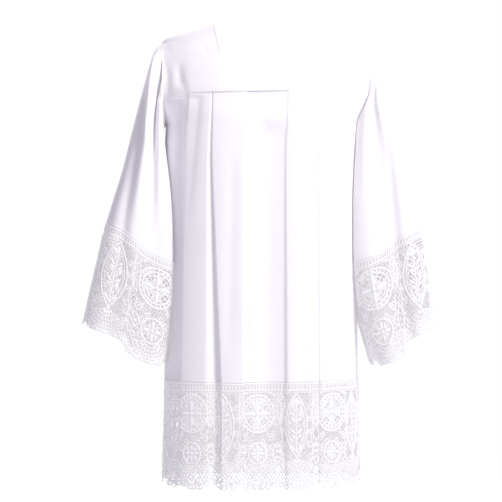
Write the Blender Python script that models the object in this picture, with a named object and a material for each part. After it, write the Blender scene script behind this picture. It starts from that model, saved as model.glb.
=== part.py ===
"""A surplice that keeps the hollow form of a wearer: yoke, pleated body, wide sleeves and deep lace.

The garment's front faces -Y and the wearer's left is at +X. The origin lies midway between the two
ends of the neck opening on the shoulder line, which is where a wearer's shoulders hold it up. Every
piece is a closed wall: its outer side follows a surface and its inner side lies one wall inside it.
"""

import math
from typing import NamedTuple

import bpy
import numpy as np
from mathutils import Vector
from mathutils.geometry import delaunay_2d_cdt

MM = 0.001

CLOTH_WALL = 1.8 * MM
LACE_WALL = 1.6 * MM
SEAM_GAP = 0.3 * MM
SLEEVE_CLEARANCE = 3.5 * MM

FRONT = -1
BACK = 1
SIDEWAYS = np.array([1.0, 0.0, 0.0])
BACKWARD = np.array([0.0, 1.0, 0.0])
UPWARD = np.array([0.0, 0.0, 1.0])

# Yoke and neck
NECK_HALF_WIDTH = 105 * MM
SHOULDER_HALF_WIDTH = 208 * MM
SHOULDER_DROP = 38 * MM
YOKE_SEAM_Z = -142 * MM
YOKE_SIDE_DROP = 14 * MM
YOKE_DROP_FROM_X = 155 * MM
YOKE_DROP_TO_X = 163 * MM
FRONT_NECK_DROP = 66 * MM
FRONT_NECK_HALF = 82 * MM
BACK_NECK_DROP = 22 * MM
BACK_NECK_HALF = 92 * MM

# Armhole, an upright oval seen from the side
ARMHOLE_TOP_Z = -SHOULDER_DROP
ARMHOLE_WIDEST_Z = -124 * MM
UNDERARM_Z = -205 * MM
ARMHOLE_HALF_DEPTH = 74 * MM

# Hem seam and lace
LACE_SEAM_Z = -716 * MM
LACE_SEAM_SIDE_DROP = 8 * MM
LACE_DEPTH = 204 * MM
SCALLOP_DEPTH = 19 * MM
HEM_COLUMNS = 8
CUFF_COLUMNS = 3
SCALLOP_STEPS = 8
MOTIF_PITCH = 90 * MM
LACE_EDGE_MARGIN = 3 * MM
SIDE_DIAMOND = ((-45, 88), (-35, 102), (-45, 117), (-54, 102))
EDGE_DIAMOND = ((-45, 164), (-38, 172), (-45, 181), (-52, 172))
LACE_MERGE = 0.4 * MM

# The neck and shoulders sit a little towards +X and higher there, as the garment is worn
LEAN = 7 * MM
TILT = 0.02
LEAN_TO_Z = -300 * MM

# Shapes of curves, and how finely they are measured
STRAP_EDGE_POWER = 4
SCALLOP_POWER = 0.8
FOLD_DEEPEST_SHARE = 1.2
NECK_TURN_CLEARANCE = 0.08
STATION_SPACING = 100 * MM
SHARP_EDGE_ANGLE = math.radians(35.0)
HEM_SAMPLES_PER_COLUMN = 16
GIRTH_SAMPLES = 241
LACE_SPREAD_SHARES = (0.25, 0.5, 0.75)
YOKE_NORMAL_STEPS = (0.02, 0.002)
PANEL_NORMAL_STEPS = (0.02, 1 * MM)
SLEEVE_NORMAL_STEPS = (0.01, 0.02)
LACE_NORMAL_STEPS = (0.3 * MM, 2 * MM)


class Level(NamedTuple):
    """One height of the body's outline: half sizes in mm and the power of its rounded shape."""

    z: float
    half_width: float
    front_depth: float
    back_depth: float
    power: float


BODY_LEVELS = (
    Level(z=-925, half_width=203.0, front_depth=151, back_depth=141, power=2.3),
    Level(z=-716, half_width=197.5, front_depth=147, back_depth=137, power=2.3),
    Level(z=-500, half_width=196.5, front_depth=141, back_depth=129, power=2.35),
    Level(z=-320, half_width=196.5, front_depth=135, back_depth=123, power=2.4),
    Level(z=-205, half_width=197.5, front_depth=127, back_depth=117, power=2.5),
    Level(z=-142, half_width=207.0, front_depth=118, back_depth=109, power=2.6),
    Level(z=-38, half_width=208.0, front_depth=118, back_depth=109, power=2.6),
)


class Crease(NamedTuple):
    """One crease of a pleated panel, from the yoke seam to the hem: places and lifts in mm.

    The cloth runs from each crease to the next one in the given number of steps.
    """

    name: str
    x_top: float
    lift_top: float
    x_hem: float
    lift_hem: float
    steps: int


FRONT_CREASES = (
    Crease("side panel, clear of pleat 1", -163.0, 0, -165, 0, 1),
    Crease("side panel ends under pleat 1", -154.0, 0, -152, 0, 1),
    Crease("pleat 1, outer edge", -155.0, 2.3, -155, 10, 3),
    Crease("pleat 1, rolled inner side", -106.0, 2.3, -112, 12, 2),
    Crease("valley beside pleat 1", -103.8, 0, -94, 0, 1),
    Crease("cloth under pleat 2", -101.5, 0, -83, 0, 1),
    Crease("pleat 2, outer edge", -102.3, 2.3, -85, 13, 3),
    Crease("pleat 2, inner edge", -47.0, 2.3, -47, 11, 1),
    Crease("centre, -X end", -48.0, 0, -50, 0, 4),
    Crease("centre, +X end", 50.0, 0, 51, 0, 1),
    Crease("pleat 3, inner edge", 49.0, 2.3, 48, 11, 3),
    Crease("pleat 3, outer edge", 102.0, 2.3, 101, 10, 1),
    Crease("slit between pleats 3 and 4", 103.5, 0, 103.5, 1, 1),
    Crease("pleat 4, inner edge", 105.0, 2.3, 106, 10, 3),
    Crease("pleat 4, outer edge", 156.0, 2.3, 158, 10, 1),
    Crease("side panel starts under pleat 4", 155.0, 0, 155, 0, 1),
    Crease("side panel, clear of pleat 4", 163.0, 0, 167, 0, 1),
)

BACK_CREASES = (
    Crease("side panel, clear of pleat 1", -163.0, 0, -165, 0, 1),
    Crease("side panel ends under pleat 1", -154.0, 0, -152, 0, 1),
    Crease("pleat 1, outer edge", -155.0, 2.3, -155, 10, 3),
    Crease("pleat 1, inner edge", -104.5, 2.3, -104, 10, 1),
    Crease("slit between pleats 1 and 2", -103.0, 0, -101.5, 1, 1),
    Crease("pleat 2, outer edge", -101.5, 2.3, -99, 10, 3),
    Crease("pleat 2, inner edge", -48.0, 2.3, -46, 11, 1),
    Crease("centre, -X end", -49.0, 0, -49, 0, 4),
    Crease("centre, +X end", 49.0, 0, 51, 0, 1),
    Crease("pleat 3, inner edge", 48.0, 2.3, 48, 12, 3),
    Crease("pleat 3, outer edge", 101.3, 2.3, 88, 12, 1),
    Crease("cloth under pleat 3", 100.5, 0, 86, 0, 1),
    Crease("valley beside pleat 4", 102.8, 0, 96, 0, 2),
    Crease("pleat 4, rolled inner side", 105.0, 2.3, 112, 11, 3),
    Crease("pleat 4, outer edge", 155.0, 2.3, 155, 10, 1),
    Crease("side panel starts under pleat 4", 154.0, 0, 152, 0, 1),
    Crease("side panel, clear of pleat 4", 163.0, 0, 165, 0, 1),
)

SIDE_STEPS = 5
PANEL_ROWS_ABOVE_UNDERARM = (-171, -187, -199)
PANEL_ROWS_BELOW_UNDERARM = (-205, -236, -300, -400, -510, -620)


class Station(NamedTuple):
    """One slanting ring of a sleeve, in mm: its outer and inner ends and its half depth.

    A slant of 1 is a straight slope between the ends; below 1 the drop gathers in the middle.
    """

    outer_x: float
    outer_z: float
    inner_x: float
    inner_z: float
    half_depth: float
    middle_y: float
    power: float
    slant: float


RIGHT_SLEEVE_STATIONS = (
    Station(218, -60, 200, -222, 78, 0, 2.1, 1.0),
    Station(237, -122, 196, -262, 81, -3, 2.2, 1.0),
    Station(261, -214, 189, -332, 84, -7, 2.3, 1.0),
    Station(283, -301, 185, -404, 86, -11, 2.4, 0.9),
    Station(314, -403, 183, -487, 88, -15, 2.4, 0.8),
    Station(339, -506, 185, -588, 90, -18, 2.4, 0.65),
    Station(362, -607, 190, -690, 92, -20, 2.4, 0.5),
)

LEFT_SLEEVE_STATIONS = (
    Station(236, -54, 201, -222, 78, 0, 2.1, 1.0),
    Station(258, -118, 197, -262, 81, -3, 2.2, 1.0),
    Station(286, -214, 190, -332, 84, -6, 2.3, 1.0),
    Station(305, -305, 185, -404, 86, -9, 2.4, 0.9),
    Station(325, -408, 183, -489, 88, -12, 2.4, 0.8),
    Station(338, -511, 192, -592, 90, -14, 2.4, 0.65),
    Station(350, -611, 211, -694, 91, -15, 2.4, 0.5),
)

SEAM_STATION = 5
END_STATION = 7


class SleeveFold(NamedTuple):
    """A valley down a sleeve: its angle round the ring and its half width in degrees, depth in mm."""

    angle_top: float
    angle_cuff: float
    half_width: float
    depth: float


RIGHT_SLEEVE_FOLDS = (
    SleeveFold(62, 74, 13, 13),
    SleeveFold(104, 126, 10, 9),
    SleeveFold(238, 232, 14, 12),
    SleeveFold(300, 296, 12, 9),
)

LEFT_SLEEVE_FOLDS = (
    SleeveFold(96, 101, 13, 12),
    SleeveFold(66, 74, 7, 7),
    SleeveFold(242, 246, 14, 12),
    SleeveFold(290, 300, 11, 9),
)

SLEEVE_SIDES = 32
SLEEVE_ROWS_PER_STATION = 2


class Finish(NamedTuple):
    """Colour, roughness and metallic value of a Principled surface."""

    colour: tuple
    roughness: float
    metallic: float


COTTON = Finish(colour=(0.90, 0.89, 0.92, 1.0), roughness=0.72, metallic=0.0)
LACE = Finish(colour=(0.84, 0.84, 0.87, 1.0), roughness=0.80, metallic=0.0)


def smooth_step(value):
    """Rise from 0 to 1 with level ends as the value goes from 0 to 1."""
    share = np.clip(value, 0.0, 1.0)
    return share * share * (3.0 - 2.0 * share)


def worn(x, y, z):
    """Points shifted and tilted sideways: fully at the shoulders, not at all below the chest."""
    share = smooth_step((z - LEAN_TO_Z) / (ARMHOLE_WIDEST_Z - LEAN_TO_Z))
    return np.stack([x + LEAN * share, y, z + TILT * x * share], axis=-1)


def level_value(column, z):
    """A column of BODY_LEVELS at heights z; lengths come back in metres."""
    heights = np.array([level.z for level in BODY_LEVELS]) * MM
    values = np.array([getattr(level, column) for level in BODY_LEVELS])
    found = np.interp(z, heights, values)
    return found if column == "power" else found * MM


def armhole_half_depth(z):
    """Half the armhole's size from front to back at heights z, which is 0 below the underarm."""
    above = ARMHOLE_TOP_Z - ARMHOLE_WIDEST_Z
    below = ARMHOLE_WIDEST_Z - UNDERARM_Z
    share = (z - ARMHOLE_WIDEST_Z) / np.where(z > ARMHOLE_WIDEST_Z, above, below)
    return ARMHOLE_HALF_DEPTH * np.sqrt(1.0 - np.clip(share, -1.0, 1.0) ** 2)


def outline_half_width(side, z):
    """Half width of the full outline whose front or back meets the panel's edge at heights z."""
    power = level_value("power", z)
    depth = level_value("front_depth" if side == FRONT else "back_depth", z)
    share = armhole_half_depth(z) / depth
    return level_value("half_width", z) / (1.0 - share**power) ** (1.0 / power)


def outline_angle(side, x, z):
    """Angle on the outline for places x, 0 at the middle and 90 degrees at the side."""
    power = level_value("power", z)
    share = np.clip(np.abs(x) / outline_half_width(side, z), 0.0, 1.0)
    return np.sign(x) * np.arcsin(share ** (power / 2.0))


def outline_point(side, angle, lift, z):
    """Points at an angle on the outline, moved out by lift along its normal.

    The outline is a rounded box: |x / a|^n + |y / b|^n = 1.
    """
    power = level_value("power", z)
    wide = outline_half_width(side, z)
    deep = level_value("front_depth" if side == FRONT else "back_depth", z)
    x = wide * np.sign(angle) * np.abs(np.sin(angle)) ** (2.0 / power)
    y = deep * np.abs(np.cos(angle)) ** (2.0 / power)
    slope_x = np.sign(x) * np.abs(x / wide) ** (power - 1.0) / wide
    slope_y = np.abs(y / deep) ** (power - 1.0) / deep
    size = np.hypot(slope_x, slope_y)
    x = x + lift * slope_x / size
    y = side * (y + lift * slope_y / size + SEAM_GAP / 2.0)
    return worn(x, y, z)


class Panel:
    """A pleated half of the body: a surface over a column number and a height."""

    def __init__(self, side, creases):
        self.side = side
        self.creases = creases
        counts = [crease.steps for crease in creases[:-1]]
        self.knots = SIDE_STEPS + np.concatenate([[0], np.cumsum(counts)])
        self.last = int(self.knots[-1]) + SIDE_STEPS

    def crease_value(self, field, column):
        """A field of the creases at column numbers, straight between one crease and the next."""
        values = np.array([getattr(crease, field) for crease in self.creases]) * MM
        return np.interp(column, self.knots, values)

    def point(self, column, z):
        """Points of the folded surface at column numbers and heights z."""
        down = np.clip((YOKE_SEAM_Z - z) / (YOKE_SEAM_Z - LACE_SEAM_Z), 0.0, 1.0)
        x_top = self.crease_value("x_top", column)
        x = x_top + (self.crease_value("x_hem", column) - x_top) * down
        lift_top = self.crease_value("lift_top", column)
        lift = lift_top + (self.crease_value("lift_hem", column) - lift_top) * down
        angle = outline_angle(self.side, x, z)
        past_first = np.clip((self.knots[0] - column) / SIDE_STEPS, 0.0, 1.0)
        past_last = np.clip((column - self.knots[-1]) / SIDE_STEPS, 0.0, 1.0)
        edge = outline_angle(self.side, level_value("half_width", z), z)
        angle = angle + (-edge - angle) * past_first + (edge - angle) * past_last
        return outline_point(self.side, angle, lift, z)

    def lace_seam(self, column):
        """Height of the hem seam at column numbers: a little lower at the sides than in front."""
        share = np.abs(2.0 * column / self.last - 1.0)
        return LACE_SEAM_Z - LACE_SEAM_SIDE_DROP * smooth_step(share * 2.0 - 1.0)

    def yoke_seam(self, column):
        """Height of the yoke seam at column numbers: lower beside the outermost pleats."""
        return yoke_seam_z(np.abs(self.crease_value("x_top", column)))

    def hem_length(self):
        """Column numbers along the hem and the developed length of the hem up to each one."""
        column = np.linspace(0.0, self.last, self.last * HEM_SAMPLES_PER_COLUMN + 1)
        path = self.point(column, np.full_like(column, LACE_SEAM_Z))
        steps = np.linalg.norm(np.diff(path, axis=0), axis=1)
        return column, np.concatenate([[0.0], np.cumsum(steps)])


def yoke_seam_z(x):
    """Height of the yoke's lower edge at half widths x, which drops beside the pleats."""
    beside = np.clip((x - YOKE_DROP_FROM_X) / (YOKE_DROP_TO_X - YOKE_DROP_FROM_X), 0.0, 1.0)
    return YOKE_SEAM_Z - YOKE_SIDE_DROP * beside


class Yoke:
    """Front or back half of the yoke: columns from armhole to armhole, turns down from the shoulder.

    Each column falls along a quarter of an oval: level on the shoulder, upright at the seam.
    """

    STRAP_STEPS = 7
    MIDDLE_STEPS = 10
    TURNS = (0, 14, 27, 40)
    TURNS_BELOW_NECK = 4

    def __init__(self, side):
        self.side = side
        self.neck_drop = FRONT_NECK_DROP if side == FRONT else BACK_NECK_DROP
        self.neck_half = FRONT_NECK_HALF if side == FRONT else BACK_NECK_HALF
        self.last = 2 * self.STRAP_STEPS + self.MIDDLE_STEPS
        self.neck_turn = math.acos(1.0 + self.neck_drop / YOKE_SEAM_Z)
        self.seam_edge = float(level_value("half_width", YOKE_SEAM_Z - YOKE_SIDE_DROP))
        inner = np.linspace(self.neck_half, YOKE_DROP_FROM_X, self.STRAP_STEPS - 2)
        outer = np.linspace(YOKE_DROP_TO_X, self.seam_edge, 3)
        places = np.concatenate([inner, outer])
        self.strap_shares = (places - self.neck_half) / (self.seam_edge - self.neck_half)

    def point(self, column, turn):
        """Points at column numbers and turns, in radians from the shoulder line to the seam."""
        from_middle = column - self.last / 2.0
        inner = self.MIDDLE_STEPS / 2.0
        strap_step = np.abs(from_middle) - inner
        strap = np.interp(strap_step, np.arange(self.STRAP_STEPS + 1), self.strap_shares)
        within = np.clip(np.abs(from_middle) / inner, 0.0, 1.0)
        seam_x = self.neck_half * within + (self.seam_edge - self.neck_half) * strap
        top_x = NECK_HALF_WIDTH * within + (SHOULDER_HALF_WIDTH - NECK_HALF_WIDTH) * strap
        top_z = -SHOULDER_DROP * strap
        seam_z = yoke_seam_z(seam_x)
        fall = 1.0 - np.cos(turn)
        z = top_z + (seam_z - top_z) * fall
        across = np.clip(fall / (1.0 - math.cos(self.neck_turn)), 0.0, 1.0)
        x = top_x + (seam_x - top_x) * across
        x = x + (level_value("half_width", z) - x) * strap**STRAP_EDGE_POWER
        seam_angle = outline_angle(self.side, seam_x, seam_z)
        seam_y = np.abs(outline_point(self.side, seam_angle, 0.0, seam_z)[..., 1])
        edge_y = armhole_half_depth(z) + SEAM_GAP / 2.0
        body_y = SEAM_GAP / 2.0 + (seam_y - SEAM_GAP / 2.0) * np.sin(turn)
        y = body_y + (edge_y - body_y) * strap**STRAP_EDGE_POWER
        return worn(np.sign(from_middle) * x, self.side * y, z)


class Sleeve:
    """A sleeve with its cuff lace: a surface over an angle round the ring and a station number.

    Station 0 is the armhole, SEAM_STATION the cuff's seam and END_STATION the end of the lace.
    Angle 0 is the outer side, 90 degrees the front and 180 the side next to the body.
    """

    def __init__(self, hand, stations, folds):
        self.hand = hand
        self.stations = stations
        self.folds = folds

    def armhole_ring(self, angle):
        """Points of the armhole's edge, a seam's gap outside the yoke's and panels' edges."""
        above = ARMHOLE_TOP_Z - ARMHOLE_WIDEST_Z
        below = ARMHOLE_WIDEST_Z - UNDERARM_Z
        z = ARMHOLE_WIDEST_Z + np.cos(angle) * np.where(np.cos(angle) > 0.0, above, below)
        x = level_value("half_width", z) + SEAM_GAP
        y = -ARMHOLE_HALF_DEPTH * np.sin(angle)
        return worn(self.hand * x, y, z) * np.array([self.hand, 1.0, 1.0])

    def station_ring(self, station, angle):
        """Points of one row of the table: a rounded oval, slanting from its outer to inner end."""
        cosine = np.sign(np.cos(angle)) * np.abs(np.cos(angle)) ** (2.0 / station.power)
        sine = np.sign(np.sin(angle)) * np.abs(np.sin(angle)) ** (2.0 / station.power)
        fall = np.sign(cosine) * np.abs(cosine) ** station.slant
        outer_share, outer_fall = (1.0 + cosine) / 2.0, (1.0 + fall) / 2.0
        x = station.inner_x + (station.outer_x - station.inner_x) * outer_share
        z = station.inner_z + (station.outer_z - station.inner_z) * outer_fall
        y = station.middle_y - sine * station.half_depth
        return np.stack([x, y, z], axis=-1) * MM

    def point(self, angle, place):
        """Points at angles round the sleeve and station numbers down it."""
        rings = [self.armhole_ring(angle)] + [self.station_ring(s, angle) for s in self.stations]
        spot = np.clip(place, 0.0, END_STATION)
        first = np.minimum(np.floor(spot), END_STATION - 1).astype(int)
        share = (spot - first)[..., None]
        stack = np.stack(rings)
        index = np.arange(angle.size).reshape(angle.shape)
        flat = stack.reshape(len(rings), -1, 3)

        def ring(number):
            return flat[np.clip(number, 0, END_STATION), index]

        before, start, end, after = ring(first - 1), ring(first), ring(first + 1), ring(first + 2)
        points = 0.5 * (
            2.0 * start
            + (end - before) * share
            + (2.0 * before - 5.0 * start + 4.0 * end - after) * share**2
            + (3.0 * start - before - 3.0 * end + after) * share**3
        )
        points = self.with_folds(points, angle, spot)
        points = self.clear_of_body(points, spot)
        points[..., 0] *= self.hand
        return points

    def with_folds(self, points, angle, place):
        """Moves points inwards along the ring's radius in each fold, deeper towards the cuff."""
        share = np.clip(place / SEAM_STATION, 0.0, FOLD_DEEPEST_SHARE)
        radial = np.stack([np.cos(angle), -np.sin(angle), np.zeros_like(angle)], axis=-1)
        for fold in self.folds:
            centre = np.radians(fold.angle_top + (fold.angle_cuff - fold.angle_top) * share)
            width = math.radians(fold.half_width)
            bell = np.exp(-(((angle - centre) / width) ** 2))
            depth = fold.depth * MM * smooth_step(share) * bell
            points = points - radial * depth[..., None]
        return points

    def clear_of_body(self, points, place):
        """Moves the inner side out of the body, to lie a little clear of its side."""
        x, y, z = points[..., 0], points[..., 1], points[..., 2]
        limit = np.zeros_like(x)
        for side in (FRONT, BACK):
            depth = level_value("front_depth" if side == FRONT else "back_depth", z)
            power = level_value("power", z)
            share = np.clip(np.abs(y) / depth, 0.0, 1.0)
            half = outline_half_width(side, z) * (1.0 - share**power) ** (1.0 / power)
            half = np.minimum(half, level_value("half_width", z))
            limit = np.where(np.sign(y) == side, half, limit)
        limit = self.hand * worn(self.hand * limit, y, z)[..., 0]
        limit = limit + SEAM_GAP + SLEEVE_CLEARANCE * smooth_step(place)
        points[..., 0] = np.where(place > 0.0, np.maximum(x, limit), x)
        return points

    def seam_place(self, part):
        """Station number of the cuff's seam, on the cloth's side or on the lace's side of it."""
        half_gap = SEAM_GAP / 2.0 / STATION_SPACING
        return SEAM_STATION + half_gap * part

    def ring_angles(self):
        """Angles of the ring's points: evenly round it, with one in each fold's valley."""
        angles = np.linspace(0.0, math.tau, SLEEVE_SIDES, endpoint=False)
        for fold in self.folds:
            valley = math.radians(fold.angle_cuff)
            angles[np.argmin(np.abs(angles - valley))] = valley
        return angles

    def seam_axis(self):
        """Direction square to the slanting plane of the cuff's seam."""
        seam = self.stations[SEAM_STATION - 1]
        across = np.array([seam.outer_z - seam.inner_z, 0.0, seam.inner_x - seam.outer_x])
        return unit(across * np.array([self.hand, 1.0, 1.0]))

    def girth(self, start, end, place):
        """Angles from start to end and the developed length of the ring up to each one."""
        angle = np.linspace(start, end, GIRTH_SAMPLES)
        path = self.point(angle, np.full_like(angle, place))
        steps = np.linalg.norm(np.diff(path, axis=0), axis=1)
        return angle, np.concatenate([[0.0], np.cumsum(steps)])


def unit(vectors):
    """Vectors scaled to length 1, and left at 0 where they have none."""
    size = np.linalg.norm(vectors, axis=-1, keepdims=True)
    return vectors / np.where(size > 0.0, size, 1.0)


def surface_normals(surface, first, second, limits, steps):
    """Normals at places of a surface, halfway between its two sides at a crease."""
    first = np.clip(first, *limits[0])
    second = np.clip(second, *limits[1])

    def tangent(along_first):
        step = steps[0] if along_first else steps[1]
        low, high = limits[0] if along_first else limits[1]
        value = first if along_first else second
        back = np.maximum(value - step, low)
        ahead = np.minimum(value + step, high)
        here = surface(first, second)
        behind_point = surface(back, second) if along_first else surface(first, back)
        ahead_point = surface(ahead, second) if along_first else surface(first, ahead)
        return unit(here - behind_point) + unit(ahead_point - here)

    return unit(np.cross(tangent(True), tangent(False)))


def square_to(normals, direction, where):
    """Normals turned square to a direction at some places, so that walls meet face to face."""
    along = (normals @ direction)[:, None] * direction
    return unit(np.where(where[:, None], normals - along, normals))


def add_object(name, vertices, faces, finish):
    """Makes a mesh object from points and faces and gives it its material."""
    mesh = bpy.data.meshes.new(name)
    mesh.from_pydata([tuple(point) for point in vertices], [], faces)
    mesh.shade_smooth()
    mesh.set_sharp_from_angle(angle=SHARP_EDGE_ANGLE)
    piece = bpy.data.objects.new(name, mesh)
    bpy.context.collection.objects.link(piece)
    material = bpy.data.materials.new(name)
    material.use_nodes = True
    shader = material.node_tree.nodes["Principled BSDF"]
    shader.inputs["Base Color"].default_value = finish.colour
    shader.inputs["Roughness"].default_value = finish.roughness
    shader.inputs["Metallic"].default_value = finish.metallic
    mesh.materials.append(material)
    return piece


def closed_wall(name, outer, normals, faces, wall, finish):
    """A closed solid from the faces of its outer side, its points and their outward normals."""
    count = len(outer)
    inner = outer - normals * wall
    owners = {}
    for face in faces:
        for start, end in zip(face, face[1:] + face[:1]):
            owners[(start, end)] = owners.get((start, end), 0) + 1
    rim = [(start, end) for start, end in owners if (end, start) not in owners]
    inner_faces = [tuple(corner + count for corner in reversed(face)) for face in faces]
    rim_faces = [(end, start, start + count, end + count) for start, end in rim]
    points = np.concatenate([outer, inner])
    return add_object(name, points, list(faces) + inner_faces + rim_faces, finish)


def grid_faces(rows, columns, kept, outward, wraps=False):
    """Quads of a grid whose points run along the rows; kept says which cells are cloth."""
    faces = []
    for row in range(rows - 1):
        for column in range(columns if wraps else columns - 1):
            if not kept(row, column):
                continue
            beside = (column + 1) % columns
            quad = (
                row * columns + column,
                row * columns + beside,
                (row + 1) * columns + beside,
                (row + 1) * columns + column,
            )
            faces.append(quad if outward > 0 else quad[::-1])
    return faces


def used_only(points, normals, faces):
    """Drops the points that no face uses."""
    used = sorted({corner for face in faces for corner in face})
    place = {old: new for new, old in enumerate(used)}
    renumbered = [tuple(place[corner] for corner in face) for face in faces]
    return points[used], normals[used], renumbered


def build_yoke(name, side):
    """A half of the yoke, with the square neck left out of its middle columns."""
    yoke = Yoke(side)
    above_neck = yoke.neck_turn - NECK_TURN_CLEARANCE
    upper = [math.radians(turn) for turn in Yoke.TURNS if math.radians(turn) < above_neck]
    lower = np.linspace(yoke.neck_turn, math.pi / 2.0, Yoke.TURNS_BELOW_NECK + 1)
    turns = np.array(upper + list(lower))
    columns = np.arange(yoke.last + 1, dtype=float)
    turn, column = np.meshgrid(turns, columns, indexing="ij")
    column, turn = column.ravel(), turn.ravel()
    points = yoke.point(column, turn)
    limits = ((0.0, float(yoke.last)), (0.0, math.pi / 2.0))
    normals = surface_normals(yoke.point, column, turn, limits, YOKE_NORMAL_STEPS) * side
    normals = square_to(normals, UPWARD, turn == turns[-1])
    normals = square_to(normals, BACKWARD, turn == 0.0)
    normals = square_to(normals, SIDEWAYS, (column == 0.0) | (column == yoke.last))
    neck_row = len(upper)

    def kept(row, cell):
        return row >= neck_row or not Yoke.STRAP_STEPS <= cell < Yoke.STRAP_STEPS + Yoke.MIDDLE_STEPS

    faces = grid_faces(len(turns), len(columns), kept, side)
    points, normals, faces = used_only(points, normals, faces)
    return closed_wall(name, points, normals, faces, CLOTH_WALL, COTTON)


def build_panel(name, panel):
    """A pleated half of the body, from the yoke seam to the lace seam."""
    columns = np.arange(panel.last + 1, dtype=float)
    top = panel.yoke_seam(columns) - SEAM_GAP
    bottom = panel.lace_seam(columns)
    levels = [top]
    for height in PANEL_ROWS_ABOVE_UNDERARM + PANEL_ROWS_BELOW_UNDERARM:
        levels.append(np.full_like(columns, height * MM))
    levels.append(bottom)
    z = np.array(levels).ravel()
    column = np.tile(columns, len(levels))
    points = panel.point(column, z)
    limits = ((0.0, float(panel.last)), (-1.0, 0.0))
    normals = surface_normals(panel.point, column, z, limits, PANEL_NORMAL_STEPS) * -panel.side
    seams = np.zeros(len(z), dtype=bool)
    seams[: len(columns)] = True
    seams[-len(columns) :] = True
    normals = square_to(normals, UPWARD, seams)
    faces = grid_faces(len(levels), len(columns), lambda row, cell: True, panel.side)
    return closed_wall(name, points, normals, faces, CLOTH_WALL, COTTON)


def build_sleeve(name, sleeve):
    """The cloth of a sleeve, from the armhole to the cuff's seam."""
    angles = sleeve.ring_angles()
    places = np.linspace(0.0, sleeve.seam_place(-1), SEAM_STATION * SLEEVE_ROWS_PER_STATION + 1)
    place, angle = np.meshgrid(places, angles, indexing="ij")
    angle, place = angle.ravel(), place.ravel()
    points = sleeve.point(angle, place)
    limits = ((-1.0, math.tau + 1.0), (0.0, float(END_STATION)))
    normals = surface_normals(sleeve.point, angle, place, limits, SLEEVE_NORMAL_STEPS) * sleeve.hand
    normals = square_to(normals, SIDEWAYS, place == 0.0)
    normals = square_to(normals, sleeve.seam_axis(), place == places[-1])
    faces = grid_faces(len(places), len(angles), lambda row, cell: True, sleeve.hand, wraps=True)
    return closed_wall(name, points, normals, faces, CLOTH_WALL, COTTON)


def moved_hole(points, across, along, x_shift, y_shift):
    """A hole's outline, stretched by across and along from its centre and then shifted."""
    return [(x * across + x_shift, y * along + y_shift) for x, y in points]


def cross_motif():
    """Openings of the column with a plain cross in a ring above a small rosette, in mm."""
    ring_centre, rosette_centre = 62, 140
    quarter = ((6, 6), (27, 6), (21, 21), (6, 27))
    petal = ((4, 4), (14, 7), (15, 15), (7, 14))
    holes = [SIDE_DIAMOND, EDGE_DIAMOND]
    for across in (-1, 1):
        for along in (-1, 1):
            holes.append(moved_hole(quarter, across, along, 0, ring_centre))
            holes.append(moved_hole(petal, across, along, 0, rosette_centre))
    return holes


def leaf_motif():
    """Openings of the column with a leafy stem in a pointed oval on a trellis, in mm."""
    stem_centre, pair_spacing, end_pair_width = 84, 33, 0.78
    leaf_gap = ((4, -6), (14, -13), (17, 2), (6, 11))
    trellis = ((-7, 0), (0, -10), (7, 0), (0, 10))
    upper_trellis, lower_trellis = (33, 26), (31, 148)
    holes = [EDGE_DIAMOND]
    for across in (-1, 1):
        for pair in (-1, 0, 1):
            stretch = across * (end_pair_width if pair else 1.0)
            holes.append(moved_hole(leaf_gap, stretch, 1, 0, stem_centre + pair * pair_spacing))
        for x, y in (upper_trellis, lower_trellis):
            holes.append(moved_hole(trellis, 1, 1, x * across, y))
    return holes


def scallop_edge(width, columns):
    """Lower edge of a lace, as flat points: a rounded scallop for each column, a tip at each end."""
    share = np.linspace(0.0, 1.0, columns * SCALLOP_STEPS + 1)
    wave = np.abs(np.cos(share * columns * math.pi)) ** SCALLOP_POWER
    return np.stack([share * width, LACE_DEPTH - SCALLOP_DEPTH * (1.0 - wave)], axis=-1)


def inside(points, polygon):
    """Which points lie inside a polygon, by counting the edges that a level line crosses."""
    result = np.zeros(len(points), dtype=bool)
    for start, end in zip(polygon, np.roll(polygon, -1, axis=0)):
        spans = (start[1] > points[:, 1]) != (end[1] > points[:, 1])
        rise = end[1] - start[1] if end[1] != start[1] else 1.0
        cut = start[0] + (points[:, 1] - start[1]) / rise * (end[0] - start[0])
        result ^= spans & (points[:, 0] < cut)
    return result


def lace_layout(width, columns, first_motif, crease_places, spread_places):
    """Flat triangles of a lace: its outline, openings, creases and a few inner points.

    Gives the flat points and the triangles on the cloth between the openings.
    """
    pitch = width / columns
    stretch = pitch / MOTIF_PITCH
    motifs = (cross_motif(), leaf_motif())
    holes = []
    for column in range(columns + 1):
        middle = column * pitch
        for hole in motifs[(column + first_motif) % 2]:
            outline = np.array([(middle + x * MM * stretch, y * MM) for x, y in hole])
            if outline[:, 0].min() > LACE_EDGE_MARGIN and outline[:, 0].max() < width - LACE_EDGE_MARGIN:
                holes.append(outline)
    lower = scallop_edge(width, columns)
    top = [(place, 0.0) for place in sorted(crease_places) + sorted(spread_places)]
    top = [(0.0, 0.0)] + sorted(top) + [(width, 0.0)]
    outline = np.concatenate([np.array(top), lower[::-1]])
    loops = [outline] + holes
    points, edges = [], []
    for loop in loops:
        start = len(points)
        points.extend(Vector(point) for point in loop)
        edges.extend((start + i, start + (i + 1) % len(loop)) for i in range(len(loop)))
    for place in crease_places:
        foot = float(np.interp(place, lower[:, 0], lower[:, 1]))
        points.extend([Vector((place, 0.0)), Vector((place, foot))])
        edges.append((len(points) - 2, len(points) - 1))
    for place in spread_places:
        for share in LACE_SPREAD_SHARES:
            points.append(Vector((place, LACE_DEPTH * share)))
    found = delaunay_2d_cdt(points, edges, [], 0, LACE_MERGE)
    flat = np.array([tuple(point) for point in found[0]])
    triangles = np.array([tuple(face) for face in found[2]])
    centres = flat[triangles].mean(axis=1)
    kept = inside(centres, outline)
    for hole in holes:
        kept &= ~inside(centres, hole)
    return flat, triangles[kept]


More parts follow.
